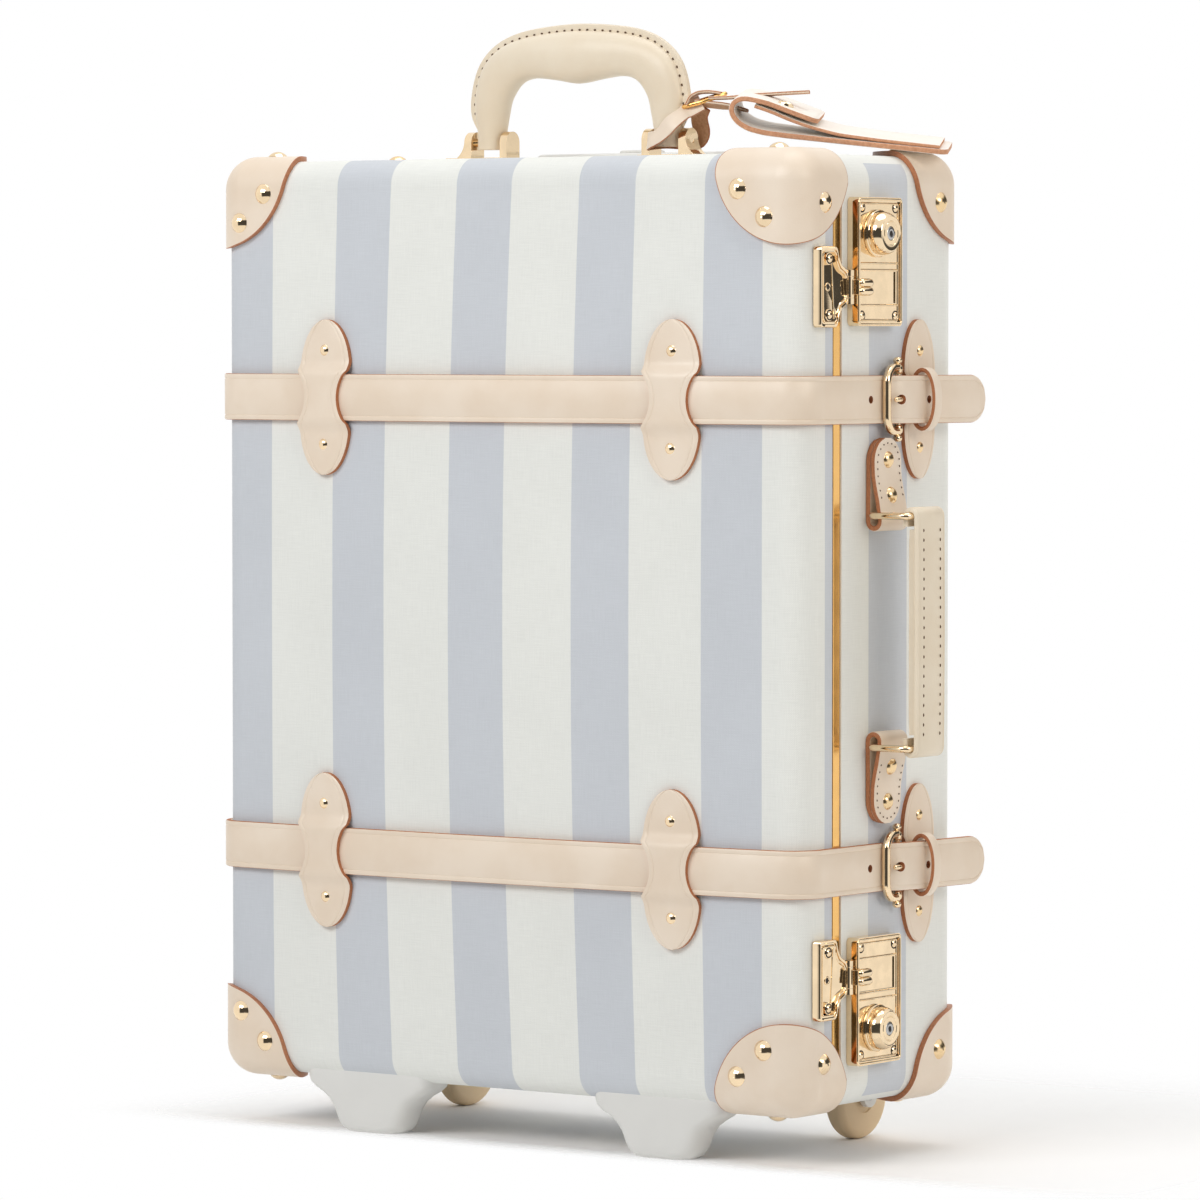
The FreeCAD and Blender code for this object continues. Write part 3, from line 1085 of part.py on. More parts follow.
def make_tag():
    """Folded leather tag that tips down from the handle's leg to the case top, and its strap loop."""
    half = TAG_W / 2
    radius = TAG_FOLD_H / 2
    inner = radius - TAG_T
    flap_low = TAG_FLAP_UP
    outline = [line(V(radius, 0, 0), V(TAG_L, 0, 0)), line(V(TAG_L, 0, 0), V(TAG_L, 0, TAG_T)),
               line(V(TAG_L, 0, TAG_T), V(radius, 0, TAG_T)),
               arc(V(radius, 0, TAG_T), V(radius - inner, 0, radius), V(radius, 0, TAG_FOLD_H - TAG_T)),
               line(V(radius, 0, TAG_FOLD_H - TAG_T), V(TAG_FLAP_L, 0, flap_low)),
               line(V(TAG_FLAP_L, 0, flap_low), V(TAG_FLAP_L, 0, flap_low + TAG_T)),
               line(V(TAG_FLAP_L, 0, flap_low + TAG_T), V(radius, 0, TAG_FOLD_H)),
               arc(V(radius, 0, TAG_FOLD_H), V(0, 0, radius), V(radius, 0, 0))]
    leather = Part.Face(Part.Wire(outline)).extrude(V(0, TAG_W, 0)).translated(V(0, -half, 0))
    margin = half - TAG_CARD_MARGIN
    card_low = TAG_T + LAY_GAP
    card = box((TAG_FOLD_H, TAG_L - TAG_CARD_MARGIN), (-margin, margin), (card_low, card_low + TAG_CARD_T))
    share = (TAG_STUD_X - radius) / (TAG_FLAP_L - radius)
    stud_z = TAG_FOLD_H + share * (flap_low + TAG_T - TAG_FOLD_H)
    fall = TAG_FOLD_H - flap_low - TAG_T
    square = V(fall, 0, TAG_FLAP_L - radius).normalize()
    stud = aimed(dome_head(TAG_STUD_R, TAG_STUD_H, TAG_T / 2), V(TAG_STUD_X, 0, stud_z), square)
    leather = drilled(leather, [(V(TAG_STUD_X, 0, stud_z), square)], 0.9 * TAG_T)
    seat = tag_seat()
    return {"luggage_tag": [placed(solid, seat) for solid in (leather, card, stud)],
            "tag_strap": [tag_strap()]}


def tag_strap():
    """Leather band hung on the right leg of the carry handle, with a short end towards the tag."""
    low, high = CASE_H + TAG_LOOP_UP[0], CASE_H + TAG_LOOP_UP[1]
    outer = Part.Ellipse(V(0, 0, 0), TAG_LOOP_HALF_X + TAG_LOOP_T, TAG_LOOP_HALF_Y + TAG_LOOP_T).toShape()
    inner = Part.Ellipse(V(0, 0, 0), TAG_LOOP_HALF_X, TAG_LOOP_HALF_Y).toShape()
    band = hollow_prism(Part.Wire(outer), Part.Wire(inner), high - low)
    band = band.translated(V(TAG_LOOP_X, 0, low))
    start = V(TAG_LOOP_X + TAG_LOOP_HALF_X + TAG_LOOP_T / 2, 0, 0)
    end = V(TAG_START[0], TAG_START[1], 0)
    run = end.sub(start)
    length = run.Length - RUN_GAP
    tongue = box((0, length), (-TAG_LOOP_T / 2, TAG_LOOP_T / 2), (low, low + TAG_TONGUE_W))
    turn = FreeCAD.Rotation(V(1, 0, 0), run)
    return band.fuse(placed(tongue, FreeCAD.Placement(start, turn))).removeSplitter()


# Assembly

def make_nodes():
    nodes = {}
    makers = (make_shells, make_corners, make_straps, make_buckles, make_locks, make_carry_handle,
              make_side_handle, make_trolley, make_running_gear, make_hinges, make_tag)
    for maker in makers:
        for name, solids in maker().items():
            nodes.setdefault(name, []).extend(solids)
    return nodes


def origin_shift(nodes):
    """Move that puts the origin on the floor, in the middle of the footprint."""
    extent = Part.makeCompound([solid for solids in nodes.values() for solid in solids]).optimalBoundingBox()
    return V(-(extent.XMin + extent.XMax) / 2, -(extent.YMin + extent.YMax) / 2, FOOT_H)


def main():
    os.makedirs("parts", exist_ok=True)
    nodes = make_nodes()
    shift = origin_shift(nodes)
    print("origin shift", shift, "nodes", len(nodes))
    for name, solids in nodes.items():
        shape = solids[0] if len(solids) == 1 else Part.makeCompound(solids)
        shape.translated(shift).exportStep("parts/" + name + ".step")


if __name__ == "__main__":
    main()
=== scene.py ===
import bpy
import bmesh
from math import cos, pi, radians, sin, sqrt, tau
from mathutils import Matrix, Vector


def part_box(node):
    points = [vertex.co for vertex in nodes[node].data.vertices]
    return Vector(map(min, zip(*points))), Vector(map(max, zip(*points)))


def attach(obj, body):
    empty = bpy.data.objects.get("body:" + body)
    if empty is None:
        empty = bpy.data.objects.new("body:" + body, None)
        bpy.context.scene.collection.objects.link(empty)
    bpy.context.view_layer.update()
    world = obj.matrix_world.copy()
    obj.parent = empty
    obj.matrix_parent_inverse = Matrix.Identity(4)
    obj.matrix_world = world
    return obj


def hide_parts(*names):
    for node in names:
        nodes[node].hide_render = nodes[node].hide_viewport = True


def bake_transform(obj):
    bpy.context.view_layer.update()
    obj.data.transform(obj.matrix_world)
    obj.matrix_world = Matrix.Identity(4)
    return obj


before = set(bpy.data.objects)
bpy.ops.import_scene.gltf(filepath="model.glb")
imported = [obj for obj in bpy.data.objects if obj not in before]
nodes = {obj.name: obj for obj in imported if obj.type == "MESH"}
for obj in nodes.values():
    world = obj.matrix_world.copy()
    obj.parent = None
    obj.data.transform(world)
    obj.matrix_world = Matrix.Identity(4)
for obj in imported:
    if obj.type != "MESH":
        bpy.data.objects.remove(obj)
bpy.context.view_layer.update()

# Case sizes in millimetres: x from the middle, y to the back, z from the case bottom
SIDE = 178.0
HEIGHT = 462.5
MIDDLE = HEIGHT / 2
FRONT = -66.0
BACK = 74.0
SEAM = -37.2
EDGE_R = 14.0
FLAT_X = SIDE - EDGE_R
FLAT_Z = MIDDLE - EDGE_R
CROWN = 8.0
STRAP_Z = {"lower": 116.0, "upper": 343.6}
OUT = Vector((1, 0, 0))
REAR = Vector((0, 1, 0))
UP = Vector((0, 0, 1))

# Slot names passed along with the added pieces
LEATHER = "cream_leather"
METAL = "gold_metal"

shell_low, shell_high = [Vector(corner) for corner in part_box("base_shell")]
ORIGIN = Vector(((shell_low.x + shell_high.x) / 2, shell_high.y - BACK / 1000, shell_low.z))


def at(x, y, z):
    """Case millimetres to metres in the shared frame."""
    return ORIGIN + Vector((x, y, z)) / 1000


def srgb(red, green, blue):
    """Display colour, 0 to 255, as a linear colour."""
    def linear(value):
        value /= 255
        return value / 12.92 if value <= 0.04045 else ((value + 0.055) / 1.055) ** 2.4
    return (linear(red), linear(green), linear(blue), 1.0)


# Material helpers

class Shade:
    """Short calls that add shader nodes to one material or world."""

    def __init__(self, tree):
        self.tree = tree

    def put(self, socket, value):
        """A constant or another node's output on an input."""
        if isinstance(value, bpy.types.NodeSocket):
            self.tree.links.new(value, socket)
        else:
            socket.default_value = value

    def add(self, kind, inputs=None, **settings):
        """A new node, given as its outputs."""
        made = self.tree.nodes.new("ShaderNode" + kind)
        for key, value in settings.items():
            setattr(made, key, value)
        for key, value in (inputs or {}).items():
            self.put(made.inputs[key], value)
        return made.outputs

    def wear(self, **values):
        """Inputs of the material's own shader, with _ for the space in a name."""
        shader = self.tree.nodes["Principled BSDF"]
        for key, value in values.items():
            self.put(shader.inputs[key.replace("_", " ")], value)

    def calc(self, operation, first, second=0.0):
        return self.add("Math", {0: first, 1: second}, operation=operation)[0]

    def times(self, first, second):
        return self.calc("MULTIPLY", first, second)

    def less(self, first, second):
        return self.calc("SUBTRACT", first, second)

    def fade(self, value, low, high):
        """0 below low, 1 above high."""
        return self.add("MapRange", {0: value, 1: low, 2: high}, interpolation_type="SMOOTHSTEP")[0]

    def window(self, value, low, high, soften):
        """1 between low and high, with soft ends."""
        rise = self.fade(value, low - soften, low + soften)
        return self.times(rise, self.fade(value, high + soften, high - soften))

    def spread(self, value, start, end, low=0.0, high=1.0):
        """start where value is low, end where it is high."""
        return self.add("MapRange", {0: value, 1: low, 2: high, 3: start, 4: end})[0]

    def mix(self, share, first, second):
        return self.add("Mix", {0: share, 6: first, 7: second}, data_type="RGBA")[2]

    def choose(self, share, first, second):
        return self.add("Mix", {0: share, 2: first, 3: second})[0]

    def scaled(self, vector, factor):
        return self.add("VectorMath", {0: vector, 3: factor}, operation="SCALE")[0]

    def split(self, vector):
        return self.add("SeparateXYZ", {0: vector})

    def noise(self, vector, scale, detail=2.0):
        return self.add("TexNoise", {"Vector": vector, "Scale": scale, "Detail": detail})[0]

    def bump(self, height, strength, distance):
        return self.add("Bump", {"Height": height, "Strength": strength, "Distance": distance})[0]

    def case_mm(self):
        """Case millimetres on the surface."""
        place = self.add("TexCoord")["Object"]
        moved = self.add("VectorMath", {0: place, 1: ORIGIN}, operation="SUBTRACT")[0]
        return self.scaled(moved, 1000.0)


def material(name, **values):
    made = bpy.data.materials.new(name)
    made.use_nodes = True
    shade = Shade(made.node_tree)
    shade.wear(**values)
    return made, shade


def darker(colour, share):
    return [channel * share for channel in colour[:3]] + [1.0]


# Materials

WHITE = srgb(239, 241, 237)
BLUE = srgb(209, 214, 221)
STRIPE = 33.8
REPEAT = 74.9
FRONT_START = 47.4
BLUR = 0.25
THREAD = 0.9
SLUB_FINE = 2.2
SLUB_LONG = 0.09
FACING = 0.72


def fabric(name, side_start):
    """Woven canvas with broad stripes: by x on the front, top and back, by y on the sides."""
    made, shade = material(name, Roughness=0.85, Sheen_Weight=0.12, Sheen_Roughness=0.5)
    place = shade.case_mm()
    x, y, z = shade.split(place)
    facing = shade.split(shade.add("TexCoord")["Normal"])
    side, upward = [shade.calc("GREATER_THAN", shade.calc("ABSOLUTE", facing[i]), FACING) for i in (0, 2)]

    def band(value, start):
        phase = shade.calc("FLOORED_MODULO", shade.less(value, start), REPEAT)
        return shade.window(phase, 0.0, STRIPE, BLUR)

    def slubs(by_across, by_along):
        spot = {0: shade.times(across, by_across), 1: shade.times(along, by_along)}
        return shade.noise(shade.add("CombineXYZ", spot)[0], 1.0, 1.0)

    across = shade.choose(side, x, y)
    along = shade.choose(upward, z, y)
    stripe = shade.choose(side, band(x, FRONT_START), band(y, side_start))
    slub = shade.calc("ADD", slubs(SLUB_FINE, SLUB_LONG), slubs(SLUB_LONG, SLUB_FINE))
    cloud = shade.noise(place, 0.02, 3.0)
    tone = shade.spread(shade.calc("ADD", slub, cloud), 0.93, 1.04, 0.9, 2.1)
    threads = [shade.calc("SINE", shade.times(value, tau / THREAD)) for value in (across, along)]
    weave = shade.times(*threads)
    height = shade.calc("ADD", shade.times(weave, 0.5), slub)
    colour = shade.scaled(shade.mix(stripe, WHITE, BLUE), tone)
    shade.wear(Base_Color=colour, Normal=shade.bump(height, 0.22, 0.0002))
    return made


def cap_edge(shade, place, tip_y, reach, seam_y, start=(0.0, 0.0, 0.0)):
    """1 on the raw edge of a corner cap: its rim lies on a ball round a point near the corner.

    start is that point's place from the corner: inwards, back, and towards the middle height.
    """
    x, y, z = shade.split(place)
    height = shade.calc("ABSOLUTE", shade.less(z, MIDDLE))
    away = {0: shade.less(shade.calc("ABSOLUTE", x), SIDE - start[0]),
            1: shade.less(y, tip_y + start[1]), 2: shade.less(height, MIDDLE - start[2])}
    away = shade.add("CombineXYZ", away)[0]
    reached = shade.add("VectorMath", {0: away}, operation="LENGTH")["Value"]
    rim = shade.fade(reached, reach - 0.5, reach - 0.3)
    return shade.calc("MAXIMUM", rim, shade.fade(y, seam_y - 0.3, seam_y - 0.1))


def leather(name, colour, dark, cap=None):
    """Smooth dyed leather, with the raw cut edge of a corner cap."""
    made, shade = material(name, Coat_Weight=0.15, Coat_Roughness=0.3)
    place = shade.case_mm()
    cloud = shade.noise(place, 0.035, 4.0)
    tint = shade.mix(shade.fade(cloud, 0.3, 0.75), dark, colour)
    if cap:
        fibre = shade.noise(place, 0.9, 3.0)
        cut = shade.mix(fibre, srgb(150, 84, 50), srgb(206, 140, 96))
        tint = shade.mix(cap_edge(shade, place, *cap), tint, cut)
    pores = shade.add("TexVoronoi", {"Vector": place, "Scale": 0.9})[0]
    grain = shade.calc("ADD", shade.times(pores, 0.6), shade.noise(place, 1.6, 3.0))
    rough = shade.spread(cloud, 0.5, 0.38, 0.2, 0.8)
    shade.wear(Base_Color=tint, Roughness=rough, Normal=shade.bump(grain, 0.16, 0.0002))
    return made


def raw_leather(name, dark_fibre, light_fibre):
    """Undyed leather, for cut edges and flesh sides."""
    made, shade = material(name)
    fibre = shade.noise(shade.case_mm(), 0.8, 4.0)
    shade.wear(Base_Color=shade.mix(fibre, dark_fibre, light_fibre),
               Roughness=shade.spread(fibre, 0.6, 0.8), Normal=shade.bump(fibre, 0.4, 0.0003))
    return made


def metal(name, colour, low, high):
    """Plated metal, with a roughness from low to high."""
    made, shade = material(name, Metallic=1.0)
    place = shade.case_mm()
    cloud = shade.noise(place, 0.12, 4.0)
    shade.wear(Base_Color=shade.mix(shade.fade(cloud, 0.35, 0.7), darker(colour, 0.9), colour),
               Roughness=shade.spread(cloud, low, high, 0.25, 0.75),
               Normal=shade.bump(shade.noise(place, 2.5), 0.04, 0.0001))
    return made


def moulded(name, colour, low, high, texture):
    """Plastic, rubber, cloth and thread, and the painted shade of recesses, each with a roughness from low
    to high.
    """
    made, shade = material(name)
    place = shade.case_mm()
    cloud = shade.noise(place, 0.05, 3.0)
    shade.wear(Base_Color=shade.mix(cloud, darker(colour, 0.93), colour),
               Roughness=shade.spread(cloud, low, high),
               Normal=shade.bump(shade.noise(place, texture, 3.0), 0.12, 0.0002))
    return made


CREAM = (srgb(242, 227, 209), srgb(235, 217, 196))
LIGHT_GOLD = srgb(246, 222, 186)
RIGHT_CAP = (FRONT, 42.4, SEAM + 7.7, (6.7, -2.8, 2.0))
LEFT_CAP = (FRONT, 44.0, SEAM - 0.3)
BASE_CAP = (BACK, 43.0, 400.0)
lid_fabric = fabric("lid_striped_canvas", -45.0)
base_fabric = fabric("base_striped_canvas", -6.9)
cream = leather("cream_leather", *CREAM)
pale = leather("tag_cream_leather", srgb(250, 243, 234), srgb(247, 238, 227))
ivory = leather("ivory_leather", srgb(238, 226, 205), srgb(232, 217, 193))
raw = raw_leather("raw_leather_edge", srgb(150, 86, 52), srgb(205, 138, 94))
# Tag edges: raw cut leather, drawn lighter than the other raw edges as painted light from below
tag_edge_painted_light = raw_leather("tag_raw_edge_painted_light", srgb(176, 112, 76), srgb(234, 182, 144))
suede = raw_leather("suede_back", srgb(172, 122, 86), srgb(222, 180, 144))
lid_corner = leather("lid_corner_leather", *CREAM, RIGHT_CAP)
left_corner = leather("left_corner_leather", *CREAM, LEFT_CAP)
base_corner = leather("base_corner_leather", *CREAM, BASE_CAP)
gold = metal("light_gold", LIGHT_GOLD, 0.06, 0.13)
mirror_gold = metal("polished_gold", LIGHT_GOLD, 0.02, 0.05)
satin_gold = metal("satin_gold", srgb(244, 214, 168), 0.17, 0.26)
deep_gold = metal("deep_gold", srgb(250, 198, 122), 0.12, 0.22)
silver = metal("key_barrel_steel", srgb(190, 190, 190), 0.2, 0.35)
tube_metal = metal("brushed_aluminium", srgb(200, 202, 205), 0.3, 0.45)
plastic = moulded("white_moulded_plastic", srgb(232, 232, 229), 0.4, 0.55, 0.8)
rubber = moulded("cream_rubber", srgb(236, 210, 172), 0.6, 0.75, 0.5)
lining = moulded("lining_cloth", srgb(214, 204, 184), 0.8, 0.95, 1.2)
thread = moulded("stitch_thread", srgb(92, 66, 44), 0.7, 0.85, 1.5)
# Painted shade: a near-black coat that stands for the shade inside strap holes, screw gaps, the hasp eye
# and the keyhole
dark = moulded("painted_shade_in_recesses", srgb(40, 33, 28), 0.5, 0.7, 1.0)


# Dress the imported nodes

def modify(piece, kind, **settings):
    made = piece.modifiers.new(kind.lower(), kind)
    for key, value in settings.items():
        setattr(made, key, value)


def dress(names, coat, soften=0.0, angle=35.0):
    """A coat for the named nodes, and soft edges where their faces turn by more than angle."""
    for name in names:
        piece = nodes[name]
        piece.data.materials.clear()
        piece.data.materials.append(coat)
        if soften:
            modify(piece, "WELD", merge_threshold=0.00001)
            modify(piece, "DECIMATE", decimate_type="DISSOLVE", angle_limit=radians(1.0))
            modify(piece, "BEVEL", width=soften / 1000, segments=3, limit_method="ANGLE",
                   angle_limit=radians(angle))
            modify(piece, "WEIGHTED_NORMAL")


CAP_EDGE = (0.5, 50.0)
dress(["lid_shell"], lid_fabric)
dress(["base_shell"], base_fabric)
for level in ("top", "bottom"):
    dress(["lid_corner_" + level + "_right"], lid_corner, *CAP_EDGE)
    dress(["lid_corner_" + level + "_left"], left_corner, *CAP_EDGE)
    dress(["base_corner_" + level + side for side in ("_left", "_right")], base_corner, *CAP_EDGE)
dress(["lid_rivets", "lock_screws", "hasp_fasteners", "handle_pins", "hinge_pins"], gold)
dress(["base_rivets"], satin_gold)
dress(["lock_plates", "handle_brackets", "hasp_tongue_upper", "hasp_tongue_lower",
       "hinge_lid_leaves", "hinge_base_leaves"], gold, 0.45)
dress(["lid_rim", "base_rim"], deep_gold, 0.8)
dress(["lid_lining", "base_lining"], lining)
dress(["trolley_bezel", "trolley_grip", "trolley_button", "wheel_housings"], plastic, 0.3)
dress(["trolley_outer_tubes", "trolley_middle_tubes", "trolley_inner_tubes", "wheel_axles"], tube_metal)
dress(["wheel_left", "wheel_right"], rubber)


# Pieces: each is joined from parts, and a part is its points, its faces and the number of each face's coat

def placed(name, data):
    made = bpy.data.objects.new(name, data)
    bpy.context.collection.objects.link(made)
    return made


def joined(name, parts, coats, turn=40):
    """One mesh piece, with sharp edges where its faces turn by more than turn degrees."""
    corners, faces, kinds = [], [], []
    for some_corners, some_faces, some_kinds in parts:
        start = len(corners)
        corners += [at(*corner) for corner in some_corners]
        faces += [tuple(i + start for i in face) for face in some_faces]
        kinds += some_kinds
    mesh = bpy.data.meshes.new(name)
    mesh.from_pydata(corners, [], faces)
    for coat in coats:
        mesh.materials.append(coat)
    form = bmesh.new()
    form.from_mesh(mesh)
    for face, kind in zip(form.faces, kinds):
        face.smooth = True
        face.material_index = kind
    bmesh.ops.recalc_face_normals(form, faces=form.faces)
    form.to_mesh(mesh)
    form.free()
    mesh.set_sharp_from_angle(angle=radians(turn))
    return placed(name, mesh)


def done(piece, body, *stands_for, slot=LEATHER):
    """A piece that rides a body, in the place of the nodes it stands for."""
    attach(piece, body)
    if stands_for:
        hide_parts(*stands_for)
    return piece


def fitted(name, parts, coats, body, *stands_for, slot=LEATHER, turn=40):
    return done(joined(name, parts, coats, turn), body, *stands_for, slot=slot)


# Shapes of parts

def turns(count):
    return [tau * i / count for i in range(count)]


def ring_faces(rings, count, closed=False, start=0):
    """Faces between rings of count points, the first of them at the point numbered start."""
    made = []
    for i in range(rings if closed else rings - 1):
        here, there = start + i * count, start + (i + 1) % rings * count
        for j in range(count):
            k = (j + 1) % count
            made.append((here + j, here + k, there + k, there + j))
    return made


def stack_parts(loops, kinds=(0,), cap=0, closed=False):
    """Skin over lines of equal counts, one after another, capped unless it closes on itself.

    kinds are the coats of the faces round a line, or one coat for all, and cap is that of the ends.
    """
    count = len(loops[0])
    corners = [point for loop in loops for point in loop]
    faces = ring_faces(len(loops), count, closed)
    coats = list(kinds) * (len(faces) // len(kinds))
    if not closed:
        faces += [tuple(range(count)), tuple(range(len(corners) - count, len(corners)))]
        coats += [cap, cap]
    return corners, faces, coats


def block_parts(low, high):
    """Box between two corners."""
    ring = ((low[1], low[2]), (high[1], low[2]), (high[1], high[2]), (low[1], high[2]))
    return stack_parts([[Vector((x, y, z)) for y, z in ring] for x in (low[0], high[0])])


def sweep_parts(path, section, closed=False, cap=1):
    """Section of (across, out, kind) swept along stations of (place, across, out, width)."""
    loops = [[place + across * (a * width) + out * b for a, b, kind in section]
             for place, across, out, width in path]
    return stack_parts(loops, [kind for a, b, kind in section], cap, closed)


def heading(points, i, closed=False):
    """Way that a line goes at one of its points."""
    if closed:
        return points[(i + 1) % len(points)] - points[i - 1]
    return points[min(i + 1, len(points) - 1)] - points[max(i - 1, 0)]


def circle(radius, sides):
    return [(radius * cos(a), radius * sin(a), 0) for a in turns(sides)]


def wire_parts(points, radius, normal, closed=False, sides=10):
    """Round wire along points, with normal square to the wire's plane."""
    path = [(point, heading(points, i, closed).cross(normal).normalized(), normal, 1.0)
            for i, point in enumerate(points)]
    return sweep_parts(path, circle(radius, sides), closed, 0)


def tube_ring(centre, axis_u, axis_v, radius):
    """Ring of round wire along an ellipse with these half axes."""
    normal = axis_u.cross(axis_v).normalized()
    arms = [axis_u * cos(a) + axis_v * sin(a) for a in turns(40)]
    path = [(centre + arm, arm.normalized(), normal, 1.0) for arm in arms]
    return sweep_parts(path, circle(radius, 12), True)


def disc(radius, start, end):
    """Outline of a plain disc or peg for turned_parts."""
    return [(0, start), (radius, start), (radius, end), (0, end)]


def dome_parts(tip, rings, foot=None):
    """Skin from a tip over rings of points to a foot, or to a flat end."""
    count = len(rings[0])
    corners = [tip] + [point for ring in rings for point in ring]
    last = len(corners) - count
    faces = [(0, 1 + i, 1 + (i + 1) % count) for i in range(count)]
    faces += ring_faces(len(rings), count, start=1)
    if foot is None:
        faces.append(tuple(range(last, last + count)))
    else:
        corners.append(foot)
        faces += [(last + i, last + count, last + (i + 1) % count) for i in range(count)]
    return corners, faces, [0] * len(faces)


def turned_parts(outline, place, out=OUT, count=32):
    """Solid of revolution about out, from (radius, height) points, first and last on the axis."""
    out = out.normalized()
    across = out.orthogonal().normalized()
    other = out.cross(across)
    rings = [[place + out * h + (across * cos(a) + other * sin(a)) * r for a in turns(count)]
             for r, h in outline[1:-1]]
    return dome_parts(place + out * outline[0][1], rings, place + out * outline[-1][1])


def bead_parts(place, along, out, length, width):
    """Small flattened bead for a stitch."""
    across = along.cross(out).normalized() * (width / 2)
    along = along * (length / 2)
    rings = [[place + (along * cos(a) + across * sin(a)) * size + out * (lift * width) for a in turns(8)]
             for size, lift in ((0.6, 0.32), (1.0, 0.0))]
    return dome_parts(place + out * (0.45 * width), rings)


def upside_down(parts):
    """The same parts mirrored about the case's middle height."""
    corners, faces, kinds = parts
    return [Vector((p.x, p.y, HEIGHT - p.z)) for p in corners], faces, kinds


def both(parts):
    return parts + [upside_down(part) for part in parts]


LEVELS = (("upper", lambda parts: parts), ("lower", upside_down))


# Lines and sections

def band_section(width, thick, crease=0.0, under=0):
    """Strap section with rounded raw edges, a crease line near each, and a back face of kind under."""
    half = width / 2
    points = [(half - 0.5, 0), (half, 0.5), (half, thick - 0.8), (half - 0.25, thick - 0.25),
              (half - 0.8, thick)]
    if crease:
        line = half - crease
        points += [(line + 0.45, thick), (line, thick - 0.3), (line - 0.45, thick)]
    ring = points + [(-a, b) for a, b in reversed(points)]
    made = []
    for (a, b), (c, d) in zip(ring, ring[1:] + ring[:1]):
        upright = abs(abs(a) - half) < 0.3 and abs(abs(c) - half) < 0.6 and abs(d - b) > 0.2
        made.append((a, b, int(upright)))
    made[-1] = (*ring[-1], under)
    return made


def relaxed(points, step, passes):
    """Points along a line at even steps, with its corners eased."""
    even = [points[0]]
    for start, end in zip(points, points[1:]):
        count = max(1, round((end - start).length / step))
        even += [start.lerp(end, (i + 1) / count) for i in range(count)]
    for _ in range(passes):
        inner = [(even[i - 1] + 2 * even[i] + even[i + 1]) / 4 for i in range(1, len(even) - 1)]
        even = even[:1] + inner + even[-1:]
    return even


def arc_points(centre, radius, start, end, count):
    sweep = [radians(start + (end - start) * i / count) for i in range(count + 1)]
    return [(centre[0] + radius * cos(a), centre[1] + radius * sin(a)) for a in sweep]


def stations(points, across, toward):
    """Sweep stations along points: out is square to the line, and faces toward in the middle."""
    outs = [heading(points, i).cross(across).normalized() for i in range(len(points))]
    side = 1.0 if outs[len(outs) // 2].dot(toward) > 0 else -1.0
    return [(point, across, out * side, 1.0) for point, out in zip(points, outs)]


def rounded_end(path, half, radius):
    """Stations whose width closes along a corner radius towards the path's end."""
    made = []
    for place, across, out, width in path:
        left = (path[-1][0] - place).length
        if left < radius:
            inset = radius - sqrt(max(radius ** 2 - (radius - left) ** 2, 0))
            width = max((half - inset) / half, 0.02)
        made.append((place, across, out, width))
    return made


def rounded_ends(path, half, radius):
    return rounded_end(rounded_end(path, half, radius)[::-1], half, radius)[::-1]


def spaced(points, gap, first=0.5):
    """Places and directions at even gaps along a line, with the first after this share of a gap."""
    made = []
    carried = gap * first
    for start, end in zip(points, points[1:]):
        length = (end - start).length
        while carried <= length:
            made.append((start.lerp(end, carried / length), (end - start).normalized()))
            carried += gap
        carried -= length
    return made


def rounded_frame(x, ys, zs, radius):
    """Rounded rectangle in a plane of constant x."""
    made = []
    for i, j, start in ((1, 1, 0), (0, 1, 90), (0, 0, 180), (1, 0, 270)):
        centre = (ys[i] + radius * (1 - 2 * i), zs[j] + radius * (1 - 2 * j))
        made += [Vector((x, a, b)) for a, b in arc_points(centre, radius, start, start + 90, 6)]
    return made


def even_loop(points, count):
    """A closed line resampled to a number of points at even gaps."""
    closed = points + points[:1]
    gap = sum((b - a).length for a, b in zip(closed, closed[1:])) / count
    return [place for place, along in spaced(closed, gap, 0.0)[:count]]


def ease(value, low, high):
    share = min(max((value - low) / (high - low), 0), 1)
    return share * share * (3 - 2 * share)


def crown(x, z):
    """Swell of the lid's front."""
    return CROWN * (1 - (x / (FLAT_X - 1)) ** 2) * (1 - ((z - MIDDLE) / (FLAT_Z - 1)) ** 2)


# Belt straps: the run round the lid with its free tail, and the left end on the base

STRAP_W = 23.5
STRAP = band_section(STRAP_W, 3.0, 2.6)
STRAP_GAP = 0.6
TAIL = [(190.6, 74), (187.6, 33.8), (187.6, 23), (185.15, 13.5), (185.15, 10.5), (178.45, 1.7),
        (178.45, -8)]
TAIL_ROUND = 11.0
END_ROUND = 11.5
FRONT_STEPS = 60
PEG_HOLES = ((178.9, -10.3, 1.9), (183.6, 8.4, 2.4), (188, 27.5, 1.9))
PEG_X = 182.0
PEG_REACH = 12.0
PIT = 0.1


def strap_path(z):
    """Line from the tail's tip, along the right side, round the lid's front and to its left edge."""
    line = relaxed([Vector((x, y, z)) for x, y in TAIL], 1.0, 6)
    line += [Vector((178.5, y, z)) for y in range(-9, -53, -2)]
    bend = arc_points((FLAT_X, FRONT + EDGE_R), EDGE_R + STRAP_GAP, 0, -90, 12)
    line += [Vector((x, y, z)) for x, y in bend]
    for i in range(1, FRONT_STEPS):
        share = 1 - 2 * i / FRONT_STEPS
        line.append(Vector((FLAT_X * share, FRONT - STRAP_GAP - crown(0, z) * (1 - share ** 2), z)))
    return line + [Vector((-x, y, z)) for x, y in reversed(bend)]


def punched(piece, pegs):
    """Holes cut through a piece by pegs."""
    cutter = joined(piece.name + "_pegs", pegs, [raw])
    modify(piece, "BOOLEAN", object=cutter, operation="DIFFERENCE", solver="EXACT")
    bpy.context.view_layer.update()
    graph = bpy.context.evaluated_depsgraph_get()
    mesh = bpy.data.meshes.new_from_object(piece.evaluated_get(graph))
    piece.modifiers.clear()
    piece.data = mesh
    bpy.data.objects.remove(cutter)
    mesh.set_sharp_from_angle(angle=radians(40))


